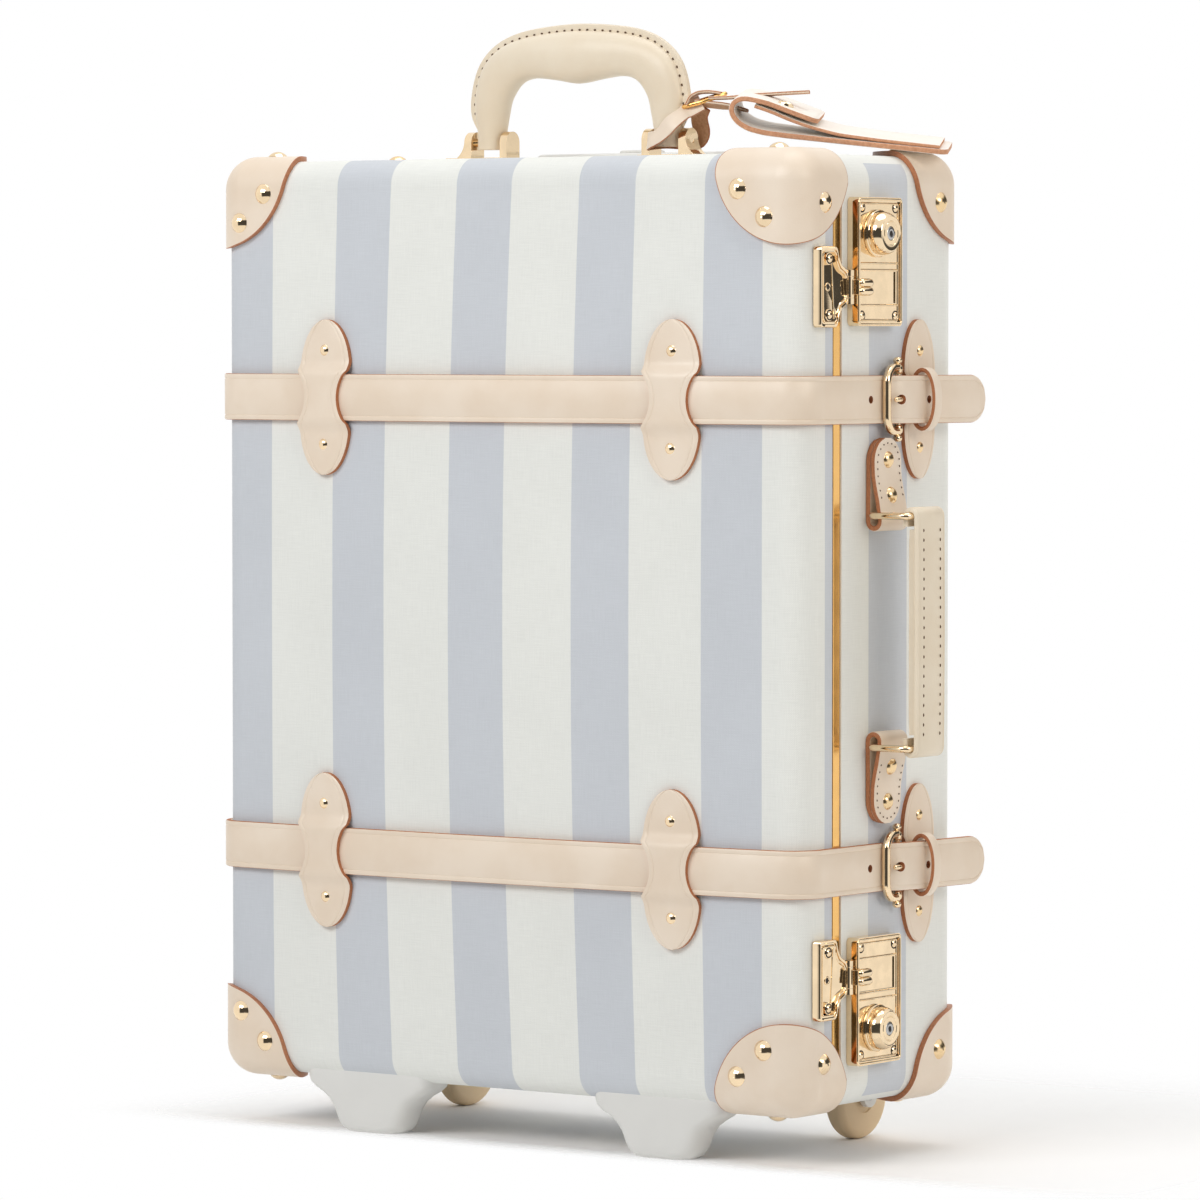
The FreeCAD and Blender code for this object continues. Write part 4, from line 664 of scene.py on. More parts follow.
for level, z in STRAP_Z.items():
    run = stations(strap_path(z), UP, -REAR)
    run = rounded_end(run[::-1], STRAP_W / 2, TAIL_ROUND)
    belt = joined("belt_" + level, [sweep_parts(run, STRAP)], [cream, raw])
    punched(belt, [turned_parts(disc(r, -PEG_REACH, PEG_REACH), Vector((PEG_X, y, z)), OUT, 24)
                   for x, y, r in PEG_HOLES])
    done(belt, "lid", "strap_" + level, "strap_tails")
    # Painted shade: a dark disc under each hole, so that the hole reads dark instead of showing the fabric
    # behind
    hole_shades = [turned_parts(disc(r + PIT, PIT, -PIT), Vector((x, y, z))) for x, y, r in PEG_HOLES]
    fitted("belt_hole_shades_" + level, hole_shades, [dark], "lid")
    left = [Vector((-178.6, y, z)) for y in range(-52, -30)]
    left += [Vector((-178.3, y, z)) for y in range(-30, 41)]
    end = rounded_end(stations(left, UP, -OUT), STRAP_W / 2, END_ROUND)
    anchor = joined("belt_end_" + level, [sweep_parts(end, STRAP)], [cream, raw])
    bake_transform(anchor)
    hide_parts("strap_anchors")


# Bow-tie keepers with their rivets

KEEPER_X = 106.3
KEEPER_T = 2.4
KEEPER_FACE = 2.8
KEEPER_ARCH = 3.6
SIDE_KEEPER_Y = 34.8
SIDE_KEEPER_SHARE = 0.85
SIDE_RIVET_Y = 34.0
WAIST = 10.4
WAIST_SAG = 5.6
LOBE_FROM = 13.5
LOBE_LONG = 25.5
LINE_AT = 2.9
RIVETS_AT = (-23.6, 23.6)
RIVET = [(0, 1.9), (1.3, 1.7), (2.3, 1.15), (2.95, 0.4), (3.1, 0), (3.1, -0.8), (0, -0.8)]


def keeper_half_width(v):
    v = abs(v)
    if v >= LOBE_FROM:
        return (WAIST + WAIST_SAG) * sqrt(max(1 - ((v - LOBE_FROM) / LOBE_LONG) ** 2, 0))
    radius = (LOBE_FROM ** 2 + WAIST_SAG ** 2) / (2 * WAIST_SAG)
    return WAIST + radius - sqrt(radius ** 2 - v ** 2)


def keeper_sheet(arch):
    """Rows of (across, up, out) points on the keeper's face, with a pressed line inside the edge."""
    rows = []
    upper = [1.35 * i for i in range(11)] + [14.2 + 1.45 * i for i in range(16)] + [37.0, 38.0, 38.7, 38.97]
    for v in [-v for v in reversed(upper[1:])] + upper:
        half = keeper_half_width(v)
        scale = min(1.0, half / WAIST)
        us = [-half + depth * scale for depth in (0, 0.4, 1.4, 2.5, LINE_AT, 3.3, 4.2, 6.5, 9.5)]
        us += [0.0] + [-u for u in reversed(us)]
        row = []
        for u in us:
            inset = (half - abs(u)) / scale
            lift = KEEPER_FACE + arch * (1 - ease(abs(v), 10.6, 18.5))
            lift -= 0.28 * max(0, 1 - abs(inset - LINE_AT) / 0.5)
            lift += 0.25 * ease(inset, 3.2, 8.0)
            lift -= 0.5 * (1 - ease(inset, 0.0, 1.2))
            row.append((u, v, lift))
        rows.append(row)
    return rows


def keeper_parts(arch, foot, right, up, out):
    """Closed leather sheet with a raw rim and back, laid on its foot by three directions."""
    def put(u, v, h):
        return foot + right * u + up * v + out * h

    rows = keeper_sheet(arch)
    face = len(rows[0]) - 1
    loops = [[put(*p) for p in row] + [put(u, v, h - KEEPER_T) for u, v, h in reversed(row)]
             for row in rows]
    return stack_parts(loops, [0] * face + [1] * (face + 2), 1)


def rivet_parts(foot, up, out):
    return [turned_parts(RIVET, foot + up * v + out * KEEPER_T, out) for v in RIVETS_AT]


parts = []
domes = []
for z in STRAP_Z.values():
    for x in (-KEEPER_X, KEEPER_X):
        slope_x = (crown(x + 1, z) - crown(x - 1, z)) / 2
        slope_z = (crown(x, z + 1) - crown(x, z - 1)) / 2
        out = Vector((-slope_x, -1, -slope_z)).normalized()
        right = Vector((1, -slope_x, 0)).normalized()
        up = out.cross(right).normalized()
        up = up if up.z > 0 else -up
        foot = Vector((x, FRONT - crown(x, z), z))
        parts.append(keeper_parts(KEEPER_ARCH, foot, right, up, out))
        domes += rivet_parts(foot, up, out)
fitted("front_keepers_leather", parts, [cream, raw], "lid", "front_keepers", turn=50)
fitted("front_keeper_domes", domes, [gold], "lid", slot=METAL)
parts = []
domes = []
for z in STRAP_Z.values():
    parts.append(keeper_parts(0.0, Vector((SIDE, SIDE_KEEPER_Y, z)), REAR * SIDE_KEEPER_SHARE, UP, OUT))
    domes += rivet_parts(Vector((SIDE, SIDE_RIVET_Y, z)), UP, OUT)
fitted("side_keepers_leather", parts, [cream, raw], "base", "side_keepers", turn=50)
fitted("side_keeper_domes", domes, [satin_gold], "base", slot=METAL)


# Strap loops and buckle chapes

BUCKLE_BAR = (181.7, 12.9)
BUCKLE_NOSE = (183.9, 0.2)
LOOP_X = 189.1
LOOP_Y = 26.4
LOOP_HALF_X = 5.8
LOOP_HALF_Z = 13.4
CHAPE_Z = 5.8


def loop_path(z):
    made = []
    for a in turns(64):
        place = Vector((LOOP_X + LOOP_HALF_X * cos(a), LOOP_Y, z + LOOP_HALF_Z * sin(a)))
        out = Vector((cos(a) / LOOP_HALF_X, 0, sin(a) / LOOP_HALF_Z)).normalized()
        made.append((place, REAR, out, 1.0))
    return made


parts = [sweep_parts(loop_path(z), band_section(6.6, 2.2), True) for z in STRAP_Z.values()]
fitted("strap_loops_leather", parts, [cream, raw], "base", "strap_loops")
parts = []
for z in STRAP_Z.values():
    for s in (-1, 1):
        line = [(181.0, 32.0), (181.0, 20.4)] + arc_points(BUCKLE_BAR, 1.7, 60, 330, 14)
        points = relaxed([Vector((x, y, z + s * CHAPE_Z)) for x, y in line], 0.6, 2)
        parts.append(sweep_parts(stations(points, UP, OUT), band_section(6.2, 1.6)))
fitted("buckle_chapes_leather", parts, [cream, raw], "base", "buckle_chapes")


# Carry handle: a padded arch with a stitched edge outside

LEG_X = 55.0
LIP = 3.6
LIP_HALF_T = 1.5
HANDLE_SEAM = 3.2
STITCH_GAP = 4.7
# Each row: share of LEG_X, height over the case, lean in degrees, width, thickness, share of the lip
HANDLE = [(1, 5.8, 90, 14.2, 12, 0), (1, 10.5, 90, 14.2, 12.4, 0),
          (1, 14.6, 90, 16.2, 13, 0.3), (1.02, 23, 90, 22, 13.7, 1),
          (1, 32.4, 97, 24.4, 14.4, 1), (0.915, 42.7, 115, 26.5, 15.5, 1),
          (0.775, 49.4, 135, 26.2, 16.5, 1), (0.573, 52.9, 158, 25.3, 17.9, 1),
          (0.3, 53.5, 170, 27.5, 19.3, 1), (0, 53, 180, 30, 20, 1)]


def handle_rows():
    """Rows along the whole arch, on a smooth curve through those of one half and their mirror."""
    rows = [(LEG_X * share, *row) for share, *row in HANDLE]
    rows += [(-x, up, 360 - lean, w, t, f) for x, up, lean, w, t, f in reversed(rows[:-1])]
    made = []
    for i in range(len(rows) - 1):
        p0, p1, p2, p3 = rows[max(i - 1, 0)], rows[i], rows[i + 1], rows[min(i + 2, len(rows) - 1)]
        for k in range(6):
            t = k / 6
            made.append([0.5 * (2 * b + (c - a) * t + (2 * a - 5 * b + 4 * c - d) * t * t
                                + (3 * b - a - 3 * c + d) * t ** 3) for a, b, c, d in zip(p0, p1, p2, p3)])
    return made + [rows[-1]]


def handle_profile(width, thick, flange):
    """Half outline of (outward, thick) points: a thin stitched edge outside and a full round inside."""
    points = []
    lip = LIP * flange
    edge = LIP_HALF_T * flange
    for i in range(15):
        turn = pi * i / 14
        n = -width / 2 + (width - lip) / 2 * (1 - cos(turn))
        swell = thick / 2 * sin(turn) ** 0.8
        points.append((n, max(swell, edge * ease(n, -width / 4, width / 2 - lip))))
    points += [(width / 2 - lip * 0.5, edge), (width / 2 - 0.5 * flange, 1.4 * flange)]
    return points + [(width / 2, 0.0)]


loops = []
seam_line = []
for x, up, lean, width, thick, flange in handle_rows():
    angle = radians(lean)
    outward = Vector((sin(angle), 0, -cos(angle)))
    centre = Vector((x, 0, HEIGHT + up))
    half = handle_profile(width, thick, flange)
    ring = half + [(n, -t) for n, t in reversed(half[1:-1])]
    loops.append([centre + outward * n + REAR * t for n, t in ring])
    if flange > 0.8:
        seam_line.append(centre + outward * (width / 2 - HANDLE_SEAM))
body = "carry_handle"
handle = fitted("carry_handle_padded", [stack_parts(loops)], [ivory], body, body, turn=60)
beads = []
for place, along in spaced(seam_line, STITCH_GAP):
    beads += [bead_parts(place + out * 1.75, along, out, 1.5, 1.0) for out in (-REAR, REAR)]
fitted("carry_handle_stitches", beads, [thread], body, turn=60)


# Side handle: a stitched strip wrapped round the rings, with a padded core, and its tabs

SIDE_Y = 2.0
RING_Z = 287.5
RING_WALL_X = 182.4
RING_OUT_X = 204.2
RING_HALF = 14.4
TAB_W = 24.0
TAB_T = 2.55
TAB_ROUND = 11.8
TAB_SEAM = 9.6
TAB_FACE = ((186.25, 294.5), (184.95, 300), (183.75, 306.5), (183.55, 313))
TAB_DOME = [(0, 2.3), (1.7, 2.05), (3, 1.4), (3.9, 0.5), (4.15, 0), (4.15, -1.2), (0, -1.2)]


def side_line(line, step, passes):
    """Line of (x, z) places in the handle's middle plane."""
    return relaxed([Vector((x, SIDE_Y, z)) for x, z in line], step, passes)


def whole(half):
    """A line down to the middle height, and its mirror."""
    return half + [(x, HEIGHT - z) for x, z in reversed(half[:-1])]


line = [(202.4, RING_Z - 5.0)] + arc_points((RING_OUT_X, RING_Z), 1.8, 180, 0, 14)
line += [(206.1, RING_Z - 12.0), (206.2, RING_Z - 30.0), (206.3, MIDDLE)]
points = side_line(whole(line), 1.5, 3)
strip = sweep_parts(stations(points, REAR, OUT), band_section(24.0, 2.7, 1.4))
fitted("side_handle_strip", [strip], [ivory, ivory], "side_handle", "side_handle")
line = whole([(202.3, RING_Z - 6.5), (201.9, RING_Z - 14.0), (201.9, MIDDLE)])
core = sweep_parts(stations(side_line(line, 3.0, 2), REAR, OUT), band_section(20.5, 4.1))
fitted("side_handle_core", [core], [ivory, ivory], "side_handle")
beads = []
for y in (-7.2, 7.4):
    column = [p + Vector((2.68, y, 0)) for p in points[20:-20]]
    beads += [bead_parts(place, along, OUT, 1.9, 1.0) for place, along in spaced(column, STITCH_GAP)]
fitted("side_handle_stitches", beads, [thread], "side_handle", turn=60)

# Folded tab: up the wall side, round the ring, and back up outside to its round end
line = [(180.75, 325.0), (180.75, 300.0), (180.6, 290.0)]
line += arc_points((182.9, RING_Z - 2.9), 2.3, 180, 375, 16)
line += [(x - TAB_T, z) for x, z in TAB_FACE] + [(180.95, 325.0)]
path = rounded_ends(stations(side_line(line, 1.2, 3), REAR, -UP), TAB_W / 2, TAB_ROUND)
tab = sweep_parts(path, band_section(TAB_W, TAB_T))
fitted("side_tabs_leather", both([tab]), [cream, raw], "base", "side_tabs")
border = [Vector((x + 0.1, SIDE_Y - TAB_SEAM, z)) for x, z in TAB_FACE]
border += [Vector((183.6, SIDE_Y - y, 313.0 + z)) for y, z in arc_points((0, 0), TAB_SEAM, 0, 180, 14)]
border += [Vector((x + 0.1, SIDE_Y + TAB_SEAM, z)) for x, z in reversed(TAB_FACE)]
beads = [bead_parts(place, along, OUT, 1.1, 0.8) for place, along in spaced(border, 3.5)]
fitted("side_tab_stitches", both(beads), [thread], "base", turn=60)
domes = [turned_parts(TAB_DOME, Vector((185.5, SIDE_Y, 297.4)), Vector((1, 0, 0.23))),
         turned_parts(TAB_DOME, Vector((183.5, SIDE_Y, 314.4)))]
fitted("side_tab_domes", both(domes), [satin_gold], "base", slot=METAL)

# Rings of bent wire, level, each with one leg in its tab and one in the handle
flat = rounded_frame(RING_Z, (RING_WALL_X, RING_OUT_X), (SIDE_Y - RING_HALF, SIDE_Y + RING_HALF), 3.6)
wire = wire_parts([Vector((p.y, p.z, p.x)) for p in flat], 1.75, UP, True, 14)
for level, put in LEVELS:
    body = "side_ring_" + level
    fitted("side_ring_wire_" + level, [put(wire)], [gold], body, body, slot=METAL, turn=60)


# Feet with a soft flare and round lower edges

FOOT_X = 89.5
FOOT_Y = -49.95
FOOT_ROUND = 7.0
# Each row: height, width, depth
FOOT = [(4.2, 78, 23.1), (-0.5, 78, 23.1), (-3, 76, 23.1), (-5.5, 69.5, 23), (-8, 60.5, 22.8),
        (-11, 52.5, 22.6), (-15, 46.5, 22.4), (-20, 42.5, 22), (-23.5, 39.5, 21.2),
        (-25.8, 35.5, 19.4), (-26.9, 31, 16.6), (-27.2, 28.5, 15)]

for side, middle in (("left", -FOOT_X), ("right", FOOT_X)):
    loops = []
    for up, width, depth in FOOT:
        outline = rounded_frame(up, (-width / 2, width / 2), (-depth / 2, depth / 2), FOOT_ROUND)
        loops.append(even_loop([Vector((middle + p.y, FOOT_Y + p.z, p.x)) for p in outline], 96))
    foot = stack_parts(loops)
    fitted("foot_moulded_" + side, [foot], [plastic], "lid", "front_foot_" + side, slot="white_plastic")


# Lining cloth over the roofs of the wheel housings

PAD_X = 122.0
PAD_HALF = 11.5
pads = [block_parts((x - PAD_HALF, 39.4, 4.9), (x + PAD_HALF, 41.3, 24.0)) for x in (-PAD_X, PAD_X)]
fitted("lining_pads", pads, [lining], "base", slot="lining_fabric")


# Luggage tag and its strap

TAG_YAW = radians(30.0)
TAG_ROLL = radians(6.0)
TAG_ALONG = Vector((cos(TAG_YAW), sin(TAG_YAW), 0))
TAG_LEVEL = Vector((-sin(TAG_YAW), cos(TAG_YAW), 0))
TAG_ACROSS = TAG_LEVEL * cos(TAG_ROLL) + UP * sin(TAG_ROLL)
TAG_FOOT = Vector((86.0, 9.0, HEIGHT + 14.4))
TAG_SLOPE = 0.107
TAG_W = 54.0
TAG_ROUND = 5.0
TAG_UNDER = [(108, 2.6), (70, 2.6), (30, 2.6), (18.4, 2.9), (11, 4), (6, 6.4), (3.4, 9.6),
             (2.9, 11.6)]
TAG_FLAP = [(3.8, 14), (5.8, 15.7), (8.7, 16.3), (14, 15.9), (20, 15), (30, 12.2), (44, 8.5)]
TAG_LEAF = [(13, 13.2), (20, 11.7), (30, 8.4), (40, 5.9), (54, 3.6), (75, 2.9), (104, 2.7)]
STUD = [(0, 0.5), (2.2, 0.5), (2.6, 1.3), (3.2, 1.6), (3.8, 1.3), (4.1, 0.3), (4.1, -0.4), (0, -0.4)]


def tag_place(s, h):
    """Point on the tag's middle line: s along it from the fold, h above its under face."""
    return TAG_FOOT + TAG_ALONG * s + UP * (h - s * TAG_SLOPE)


points = relaxed([tag_place(s, h) for s, h in TAG_UNDER + TAG_FLAP], 1.5, 2)
path = rounded_ends(stations(points, TAG_ACROSS, -UP), TAG_W / 2, TAG_ROUND)
tag = sweep_parts(path, band_section(TAG_W, 2.6))
# The tag's cut edges take the lighter edge coat, with its painted light from below
fitted("tag_leather", [tag], [pale, tag_edge_painted_light], "luggage_tag", "luggage_tag")
points = relaxed([tag_place(s, h) for s, h in TAG_LEAF], 3.0, 2)
leaf = sweep_parts(stations(points, TAG_ACROSS, UP), band_section(50.0, 1.8))
fitted("tag_inner_leaf", [leaf], [pale, tag_edge_painted_light], "luggage_tag")
stud_up = (tag_place(*TAG_FLAP[-1]) - tag_place(*TAG_FLAP[-3])).cross(TAG_ACROSS)
stud = turned_parts(STUD, tag_place(28.0, 15.3) - TAG_ACROSS * 16, stud_up)
fitted("tag_stud", [stud], [gold], "luggage_tag", slot=METAL)

# Lines of the limp strap, as x, y and height over the case
RIBBON_T = 1.4
FRONT_HALF = [(73, 2.2, 26.8), (66, -1.8, 22.5), (62, -8, 17), (55.5, -8.4, 10.6), (50.5, -8.3, 8.6),
              (47.5, -6.9, 8.2), (46.4, -4, 8.6), (46.4, 0, 9.2)]
BACK_HALF = [(46.4, 0, 9.2), (46.6, 5, 9.6), (48.5, 8.4, 9.8), (56, 9.6, 9.2), (62, 9.9, 8.6),
             (66, 10, 9.2), (67.6, 9.8, 12.5), (67.2, 8.2, 17), (68.5, 5.6, 21), (72, 3.4, 25.2)]
TIE = [(70, 0.6, 26.4), (78, 4.5, 25.4), (86, 9, 24.4), (93, 12.5, 22.5)]
ARCH = [(66, -1.5, 25.5), (67.5, 0, 29.2), (71, 2, 31.6), (76, 5, 31.9), (81, 7.6, 31)]
LOOSE = [(77, 2.6, 28.5), (86, 7.5, 28.8), (96, 13.5, 30), (108, 20.5, 30.8), (120, 27.5, 31.5)]
AHEAD, ASIDE = Vector((0, -1, 0.3)), Vector((-0.3, 0.95, 0))
RISE, LEAN = Vector((-0.1, 0, 1)), Vector((-0.15, 0.25, 1))
# Each ribbon: its line, the way its face looks at the start, halfway and at the end, and its width
RIBBONS = ((FRONT_HALF, (AHEAD, AHEAD, -OUT), 9.5), (BACK_HALF, (-OUT, REAR, ASIDE), 9.5),
           (TIE, (LEAN, LEAN, RISE), 9), (ARCH, (RISE, RISE, RISE), 9),
           (LOOSE, (RISE, RISE, RISE), 8.5))


def ribbon(line, looks):
    """Stations of a limp band whose face turns from one direction to another along it."""
    points = relaxed([Vector((x, y, HEIGHT + up)) for x, y, up in line], 1.2, 3)
    made = []
    for i, point in enumerate(points):
        ahead = heading(points, i).normalized()
        share = 2 * i / (len(points) - 1)
        out = looks[0].lerp(looks[1], share) if share < 1 else looks[1].lerp(looks[2], share - 1)
        out = (out - ahead * out.dot(ahead)).normalized()
        made.append((point, ahead.cross(out), out, 1.0))
    return made


parts = [sweep_parts(ribbon(line, looks), band_section(width, RIBBON_T, under=2))
         for line, looks, width in RIBBONS]
band = joined("tag_strap_leather", parts, [cream, raw, suede])
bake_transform(band)
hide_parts("tag_strap")
middle = Vector((74.2, 2.6, HEIGHT + 28.3))
ring = tube_ring(middle, Vector((8.9, 5.15, 3.2)), Vector((-1.75, 3.0, 0.6)), 1.1)
fitted("tag_strap_ring", [ring], [deep_gold], "base", slot=METAL, turn=60)


# Locks and hasps: raised lines, pressed plates, grooved fingers, turned knobs and key barrels

LOCK_Y = (-26.0, 13.2)
LOCK_Z = (379.2, 441.5)
LOCK_TOP = 184.15
LOCK_FIELD = LOCK_TOP - 0.9
LOCK_LINE = 0.5
SCREW_IN = 5.0
SCREW_GAP = 2.3
HASP_Z = 398.0
HASP_TOP = 182.65
HASP_LEAN = 0.05
HASP_SCREW = 13.5
HASP_POINTS = 220
EYE_Y = -48.1
KNUCKLE_R = 2.6
KNUCKLE = (5.3, 8.2)
FINGER_Z = 2.0
KNOB_Y = -8.0
KNOB_Z = 424.0
KNOB_FACE = 191.65
# Upper half of the plate's outline: y and height over HASP_Z, each followed by its change with an inset
HASP = [(-55.6, 1, 0, 0), (-55.6, 1, 19.5, -1), (-41.2, -0.2, 19.5, -1), (-39.8, -0.5, 14.6, -1),
        (-37.4, -0.4, 10.6, -1), (-32.2, -0.3, 8.2, -1), (-32.2, -0.3, 0, 0)]
# Each step of the pressed plate: inset from its outline, height over its top
HASP_STEPS = ((0, -4.4), (0, -0.6), (0.12, -0.25), (0.4, 0), (1.25, 0), (1.5, -0.15), (1.65, -0.7),
              (2.3, -0.7), (2.42, -0.2), (2.65, -0.05), (2.9, -0.2), (3.05, -0.5))
SEAT = [(0, -0.05), (2.75, -0.05), (3, -0.3), (3, -2.2), (0, -2.2)]
FINGER = [(0, -0.2), (1.1, 0.1), (1.9, 0.9), (2.15, 2), (2.15, 7.6), (1.9, 9), (1.1, 10), (0, 10.3)]
KNOB = [(0, 0.1), (11.3, 0.1), (11.5, 0.5), (11.5, 1.5), (11.1, 2), (10.5, 2.1), (10.4, 2.4), (10.6, 2.9),
        (10.5, 4.2), (10.1, 5.8), (9.5, 7.1), (8.9, 7.9), (8.6, 8.25), (8.3, 8.4), (7.9, 8.3), (6.2, 8.3),
        (6, 8.05), (5.7, 8.05), (5.5, 8.3), (3.5, 8.3), (3.35, 8.1), (3.3, 6.9), (0, 6.9)]
BARREL = [(0, -0.9), (1.2, -0.9), (1.35, -0.1), (1.7, 0.05), (2.8, 0), (3.2, -0.3), (3.3, -1.3),
          (0, -1.3)]


def inset_pair(pair, inset):
    return pair[0] + inset, pair[1] - inset


def lock_lines():
    """Raised lines round the plate and its field, and across the field."""
    parts = []
    for inset, x, corner in ((0.95, LOCK_TOP, 1.8), (3.0, LOCK_FIELD, 1.0)):
        outline = rounded_frame(x, inset_pair(LOCK_Y, inset), inset_pair(LOCK_Z, inset), corner)
        parts.append(wire_parts(outline, LOCK_LINE, OUT, True))
    for up in (8.4, 11.6, -8.6):
        ends = [Vector((LOCK_FIELD, y, HASP_Z + up)) for y in inset_pair(LOCK_Y, 3.0)]
        parts.append(wire_parts(ends, LOCK_LINE, OUT))
    return parts


def gap_shade_ring(x, y, z, radius):
    """Painted shade: a dark line round a screw, for the shadow in the gap at its edge."""
    return tube_ring(Vector((x, y, z)), REAR * SCREW_GAP, UP * SCREW_GAP, radius)


def hasp_outline(inset):
    """Plate outline: a square end, and arcs that draw in to the hinge."""
    half = [Vector((HASP_TOP, y + inset * by_y, HASP_Z + z + inset * by_z)) for y, by_y, z, by_z in HASP]
    half = relaxed(half, 0.7, 6)
    other = [Vector((p.x, p.y, 2 * HASP_Z - p.z)) for p in reversed(half[1:-1])]
    return even_loop(half + other, HASP_POINTS)


def hasp_floor(y, z):
    """Point on the plate's sunk field, which leans a little upward."""
    return Vector((HASP_TOP - 1.1 - z * HASP_LEAN, y, HASP_Z + z))


def hasp_parts():
    """Pressed plate: two rims with a groove, a sunk field, a ridge, screw seats and hinge knuckles."""
    loops = [[p + OUT * drop for p in hasp_outline(inset)] for inset, drop in HASP_STEPS]
    loops.append([hasp_floor(p.y, p.z - HASP_Z) for p in hasp_outline(HASP_STEPS[-1][0] + 0.1)])
    parts = [stack_parts(loops)]
    parts.append(wire_parts([hasp_floor(-44.0, z) for z in (-15.4, 15.4)], 0.55, OUT))
    parts.append(tube_ring(hasp_floor(EYE_Y, 0), REAR * 1.7, UP * 1.7, 0.45))
    for s in (-1, 1):
        parts.append(turned_parts(SEAT, Vector((HASP_TOP, EYE_Y, HASP_Z + s * HASP_SCREW))))
        low, high = sorted(s * end for end in KNUCKLE)
        parts.append(turned_parts(disc(KNUCKLE_R, low, high), Vector((181.05, -29.0, HASP_Z)), UP))
        parts.append(block_parts((178.3, -33.1, HASP_Z + low), (181.4, -29.0, HASP_Z + high)))
    return parts


fitted("hasp_plates_pressed", both(hasp_parts()), [mirror_gold], "lid", "hasp_plates", slot=METAL, turn=30)
lines = lock_lines()
# Painted shade: dark lines round the lock plate's screws
gap_shades = [gap_shade_ring(LOCK_FIELD, y, z, 0.3)
        for y in inset_pair(LOCK_Y, SCREW_IN) for z in inset_pair(LOCK_Z, SCREW_IN)]
# Painted shade: a dark disc in the hasp's eye hole, and dark lines round its screws
shades_at_eye = [turned_parts(disc(1.5, 0.12, -0.4), hasp_floor(EYE_Y, 0))]
shades_at_eye += [gap_shade_ring(HASP_TOP, EYE_Y, HASP_Z + z, 0.28) for z in (-HASP_SCREW, HASP_SCREW)]
lobes = [turned_parts(FINGER, Vector((186.6, -27.8, HASP_Z + z)), REAR) for z in (-FINGER_Z, FINGER_Z)]
knob = turned_parts(KNOB, Vector((LOCK_FIELD, KNOB_Y, KNOB_Z)), OUT, 64)
face = Vector((KNOB_FACE, KNOB_Y, KNOB_Z))
barrel = turned_parts(BARREL, face)
# Painted shade: a dark disc sunk in the key barrel's face, for the keyhole
keyhole_shade = turned_parts(disc(1.25, -0.3, -0.8), face)
for level, put in LEVELS:
    body = "lock_knob_" + level
    fitted("lock_lines_" + level, map(put, lines), [gold], "base", slot=METAL, turn=60)
    fitted("lock_gap_shades_" + level, map(put, gap_shades), [dark], "base", slot=METAL)
    fitted("hasp_eye_shades_" + level, map(put, shades_at_eye), [dark], "lid", slot=METAL)
    fitted("hasp_finger_" + level, map(put, lobes), [gold], "hasp_tongue_" + level, slot=METAL)
    fitted("lock_knob_turned_" + level, [put(knob)], [gold], body, body, slot=METAL, turn=30)
    fitted("key_barrel_" + level, [put(barrel)], [silver], body, slot=METAL)
    fitted("keyhole_shade_" + level, [put(keyhole_shade)], [dark], body, slot=METAL)


# Buckle frames of thick bent wire with turned ends, and their prongs

BUCKLE_HALF = 15.5
BUCKLE_BEND = 8.0
BUCKLE_R = 2.1
BAR_R = 1.5
PRONG_R = 1.25
PRONG = [BUCKLE_BAR, (183.6, 10.8), (186.3, 8.8), (187.7, 6.6), (187.2, 3.6)]
PRONG_END = [(0, -1.25), (0.9, -0.9), (1.25, 0), (0.9, 0.9), (0, 1.25)]
FINIAL = [(0, -3.2), (2.2, -3.2), (2.5, -2.2), (2.6, -0.8), (2.4, 0.5), (1.8, 1.2), (1.4, 1.6), (1.6, 2),
          (2.1, 2.7), (2.25, 3.5), (2, 4.4), (1.2, 5.1), (0, 5.3)]


def buckle_parts(z):
    nose, bar = Vector((*BUCKLE_NOSE, z)), Vector((*BUCKLE_BAR, z))
    along = (nose - bar).normalized()
    ends = [bar + UP * (s * BUCKLE_HALF) for s in (-1, 1)]
    line = ends[:1]
    for s, start in ((-1, 0), (1, 90)):
        centre = nose - along * BUCKLE_BEND + UP * (s * (BUCKLE_HALF - BUCKLE_BEND))
        bend = arc_points((0, 0), BUCKLE_BEND, start, start + 90, 8)
        line += [centre + along * forward - UP * down for down, forward in bend]
    line += ends[1:]
    parts = [wire_parts(relaxed(line, 1.0, 2), BUCKLE_R, along.cross(UP), False, 16)]
    parts += [turned_parts(FINIAL, end, UP * s) for end, s in zip(ends, (-1, 1))]
    return parts + [wire_parts(ends, BAR_R, OUT, False, 12)]


def prong_parts(z):
    points = relaxed([Vector((x, y, z)) for x, y in PRONG], 0.7, 4)
    return [wire_parts(points, PRONG_R, UP, False, 12), turned_parts(PRONG_END, points[-1], UP),
            turned_parts(disc(2.6, -2.0, 2.0), points[0], UP)]


for level, z in STRAP_Z.items():
    body = "buckle_frame_" + level
    fitted("buckle_wire_" + level, buckle_parts(z), [gold], body, body, slot=METAL, turn=50)
    body = "buckle_prong_" + level
    fitted("buckle_tongue_" + level, prong_parts(z), [gold], body, body, slot=METAL, turn=50)


# Floor: white paint under and round the case, clear further out, where the plain white world shows

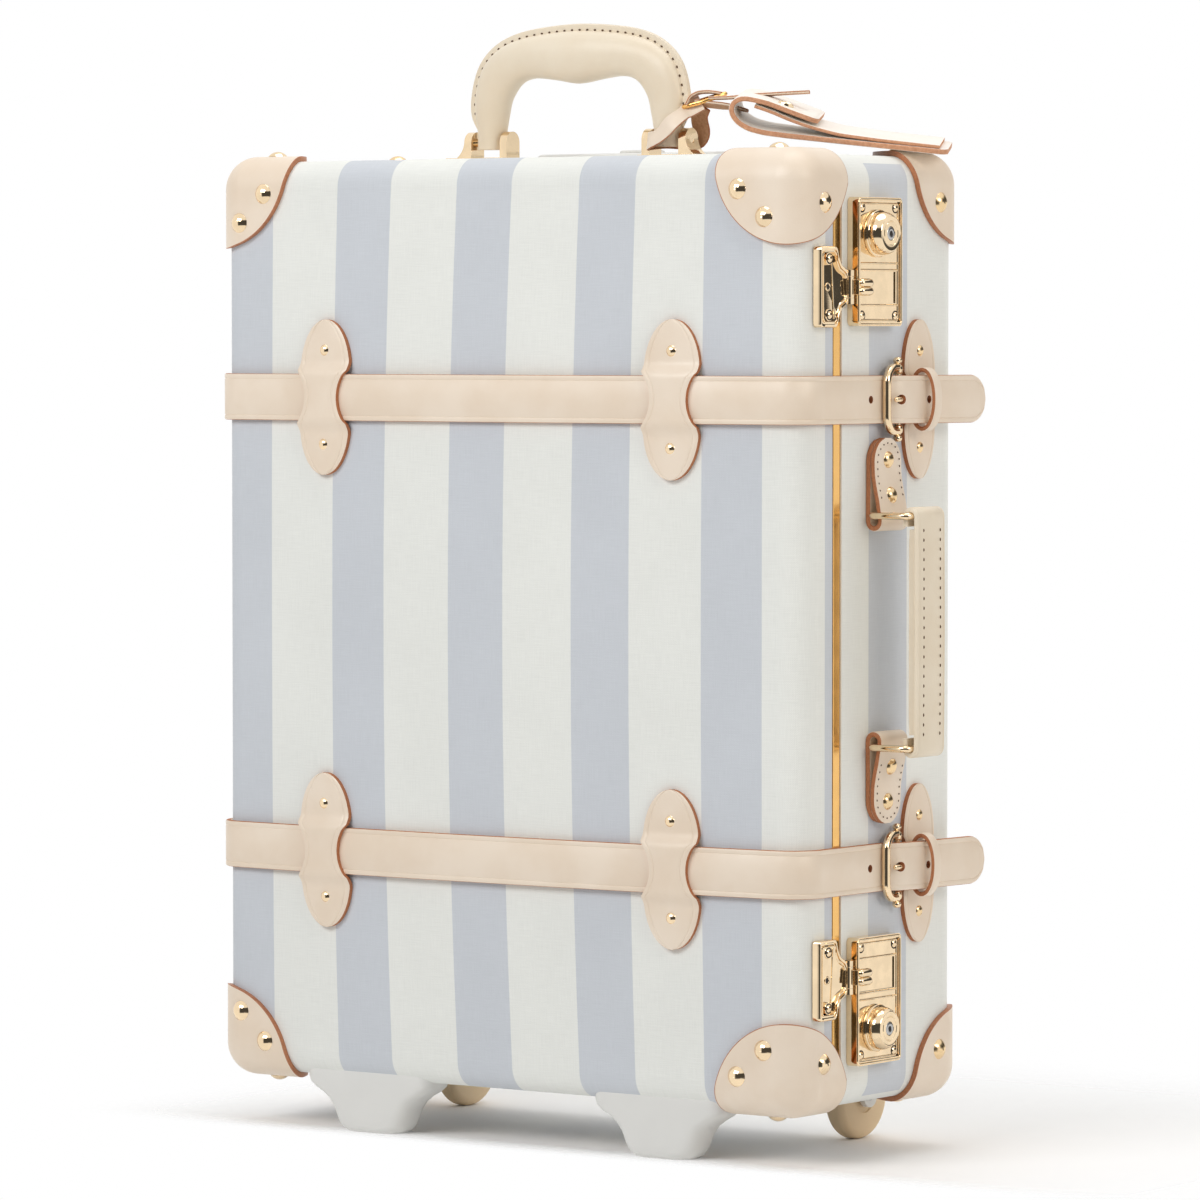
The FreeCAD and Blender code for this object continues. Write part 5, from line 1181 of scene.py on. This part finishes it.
bpy.ops.mesh.primitive_circle_add(vertices=96, radius=2.2, fill_type="NGON", location=(0, 0, 0))
floor = bpy.context.object
floor.name = "studio_floor"
paint, shade = material("studio_floor_paint", Roughness=0.7)
place = shade.add("TexCoord")["Object"]
shade.wear(Base_Color=shade.mix(shade.noise(place, 0.6), srgb(246, 246, 246), srgb(249, 249, 249)))
spot = shade.split(place)
deep = shade.times(shade.fade(spot[1], -0.085, -0.045), shade.fade(spot[1], 0.42, 0.12))
wide = shade.times(shade.fade(spot[0], -0.30, -0.16), shade.fade(spot[0], 0.42, 0.17))
painted = shade.tree.nodes["Principled BSDF"].outputs[0]
clear = shade.add("BsdfTransparent")[0]
surface = shade.add("MixShader", {0: shade.less(1.0, shade.times(deep, wide)), 1: painted, 2: clear})[0]
shade.put(shade.tree.nodes["Material Output"].inputs["Surface"], surface)
floor.data.materials.append(paint)


# World: soft walls, dark flags that the metal mirrors, and plain white behind the part

WARM = (1, 0.985, 0.96, 1)
scene = bpy.context.scene
world = scene.world or bpy.data.worlds.new("studio")
scene.world = world
world.use_nodes = True
world.node_tree.nodes.clear()
shade = Shade(world.node_tree)
aim = shade.split(shade.add("TexCoord")["Generated"])
behind = shade.fade(aim[1], -0.25, 0.45)
below = shade.fade(aim[2], -0.02, -0.3)
walls = shade.spread(shade.calc("MAXIMUM", behind, below), 0.14, 0.88)
turn = shade.calc("ARCTAN2", aim[1], aim[0])
near = shade.window(turn, radians(-107), radians(-17), 0.09)
near = shade.times(near, shade.window(aim[2], -0.375, 0.47, 0.06))
above = shade.times(shade.fade(aim[2], 0.028, 0.052), shade.fade(aim[2], 0.56, 0.44))
far = shade.times(shade.window(turn, radians(14), radians(94), 0.1), above)
flags = shade.spread(shade.calc("MAXIMUM", near, far), 1.02, 0.07)
soft = shade.add("Background", {"Color": WARM, "Strength": walls})[0]
gloss = shade.add("Background", {"Color": WARM, "Strength": flags})[0]
plain = shade.add("Background", {"Color": (1, 1, 1, 1), "Strength": 1.0})[0]
rays = shade.add("LightPath")
mirrored = shade.add("MixShader", {0: rays["Is Glossy Ray"], 1: soft, 2: gloss})[0]
choice = shade.add("MixShader", {0: rays["Is Camera Ray"], 1: mirrored, 2: plain})[0]
shade.add("OutputWorld", {0: choice})


# Lights and camera, in metres

LIGHTS = (("front_softbox", (-0.5, -2.6, 1.9), (0, 0, 0.3), (2.2, 1.2), 49.5, (1, 1, 1)),
          ("side_softbox", (2.6, -0.6, 1.5), (0, 0, 0.28), (1.2, 1), 17, (1, 0.93, 0.84)),
          ("top_softbox", (0.1, 0.2, 2.6), (0, 0, 0.3), (1.6, 1.6), 18, (1, 1, 1)))
for name, place, target, size, power, colour in LIGHTS:
    lamp = bpy.data.lights.new(name, "AREA")
    lamp.shape = "RECTANGLE"
    lamp.size, lamp.size_y = size
    lamp.energy = power
    lamp.color = colour
    item = placed(name, lamp)
    item.location = place
    item.rotation_euler = (Vector(target) - Vector(place)).to_track_quat("-Z", "Y").to_euler()

CAMERA_AWAY = (1.9558, -2.6978)
CAMERA_HEIGHT = 0.4047
CAMERA_DOWN = 2.33
CAMERA_TURN = 35.768
camera = bpy.data.cameras.new("photo_view")
camera.lens = 199.3
camera.sensor_width = 36.0
camera.clip_end = 50.0
viewer = placed("photo_view", camera)
viewer.location = (ORIGIN.x + CAMERA_AWAY[0], ORIGIN.y + CAMERA_AWAY[1], CAMERA_HEIGHT)
viewer.rotation_euler = (radians(90 - CAMERA_DOWN), 0, radians(CAMERA_TURN))
scene.camera = viewer
scene.view_settings.view_transform = "Standard"
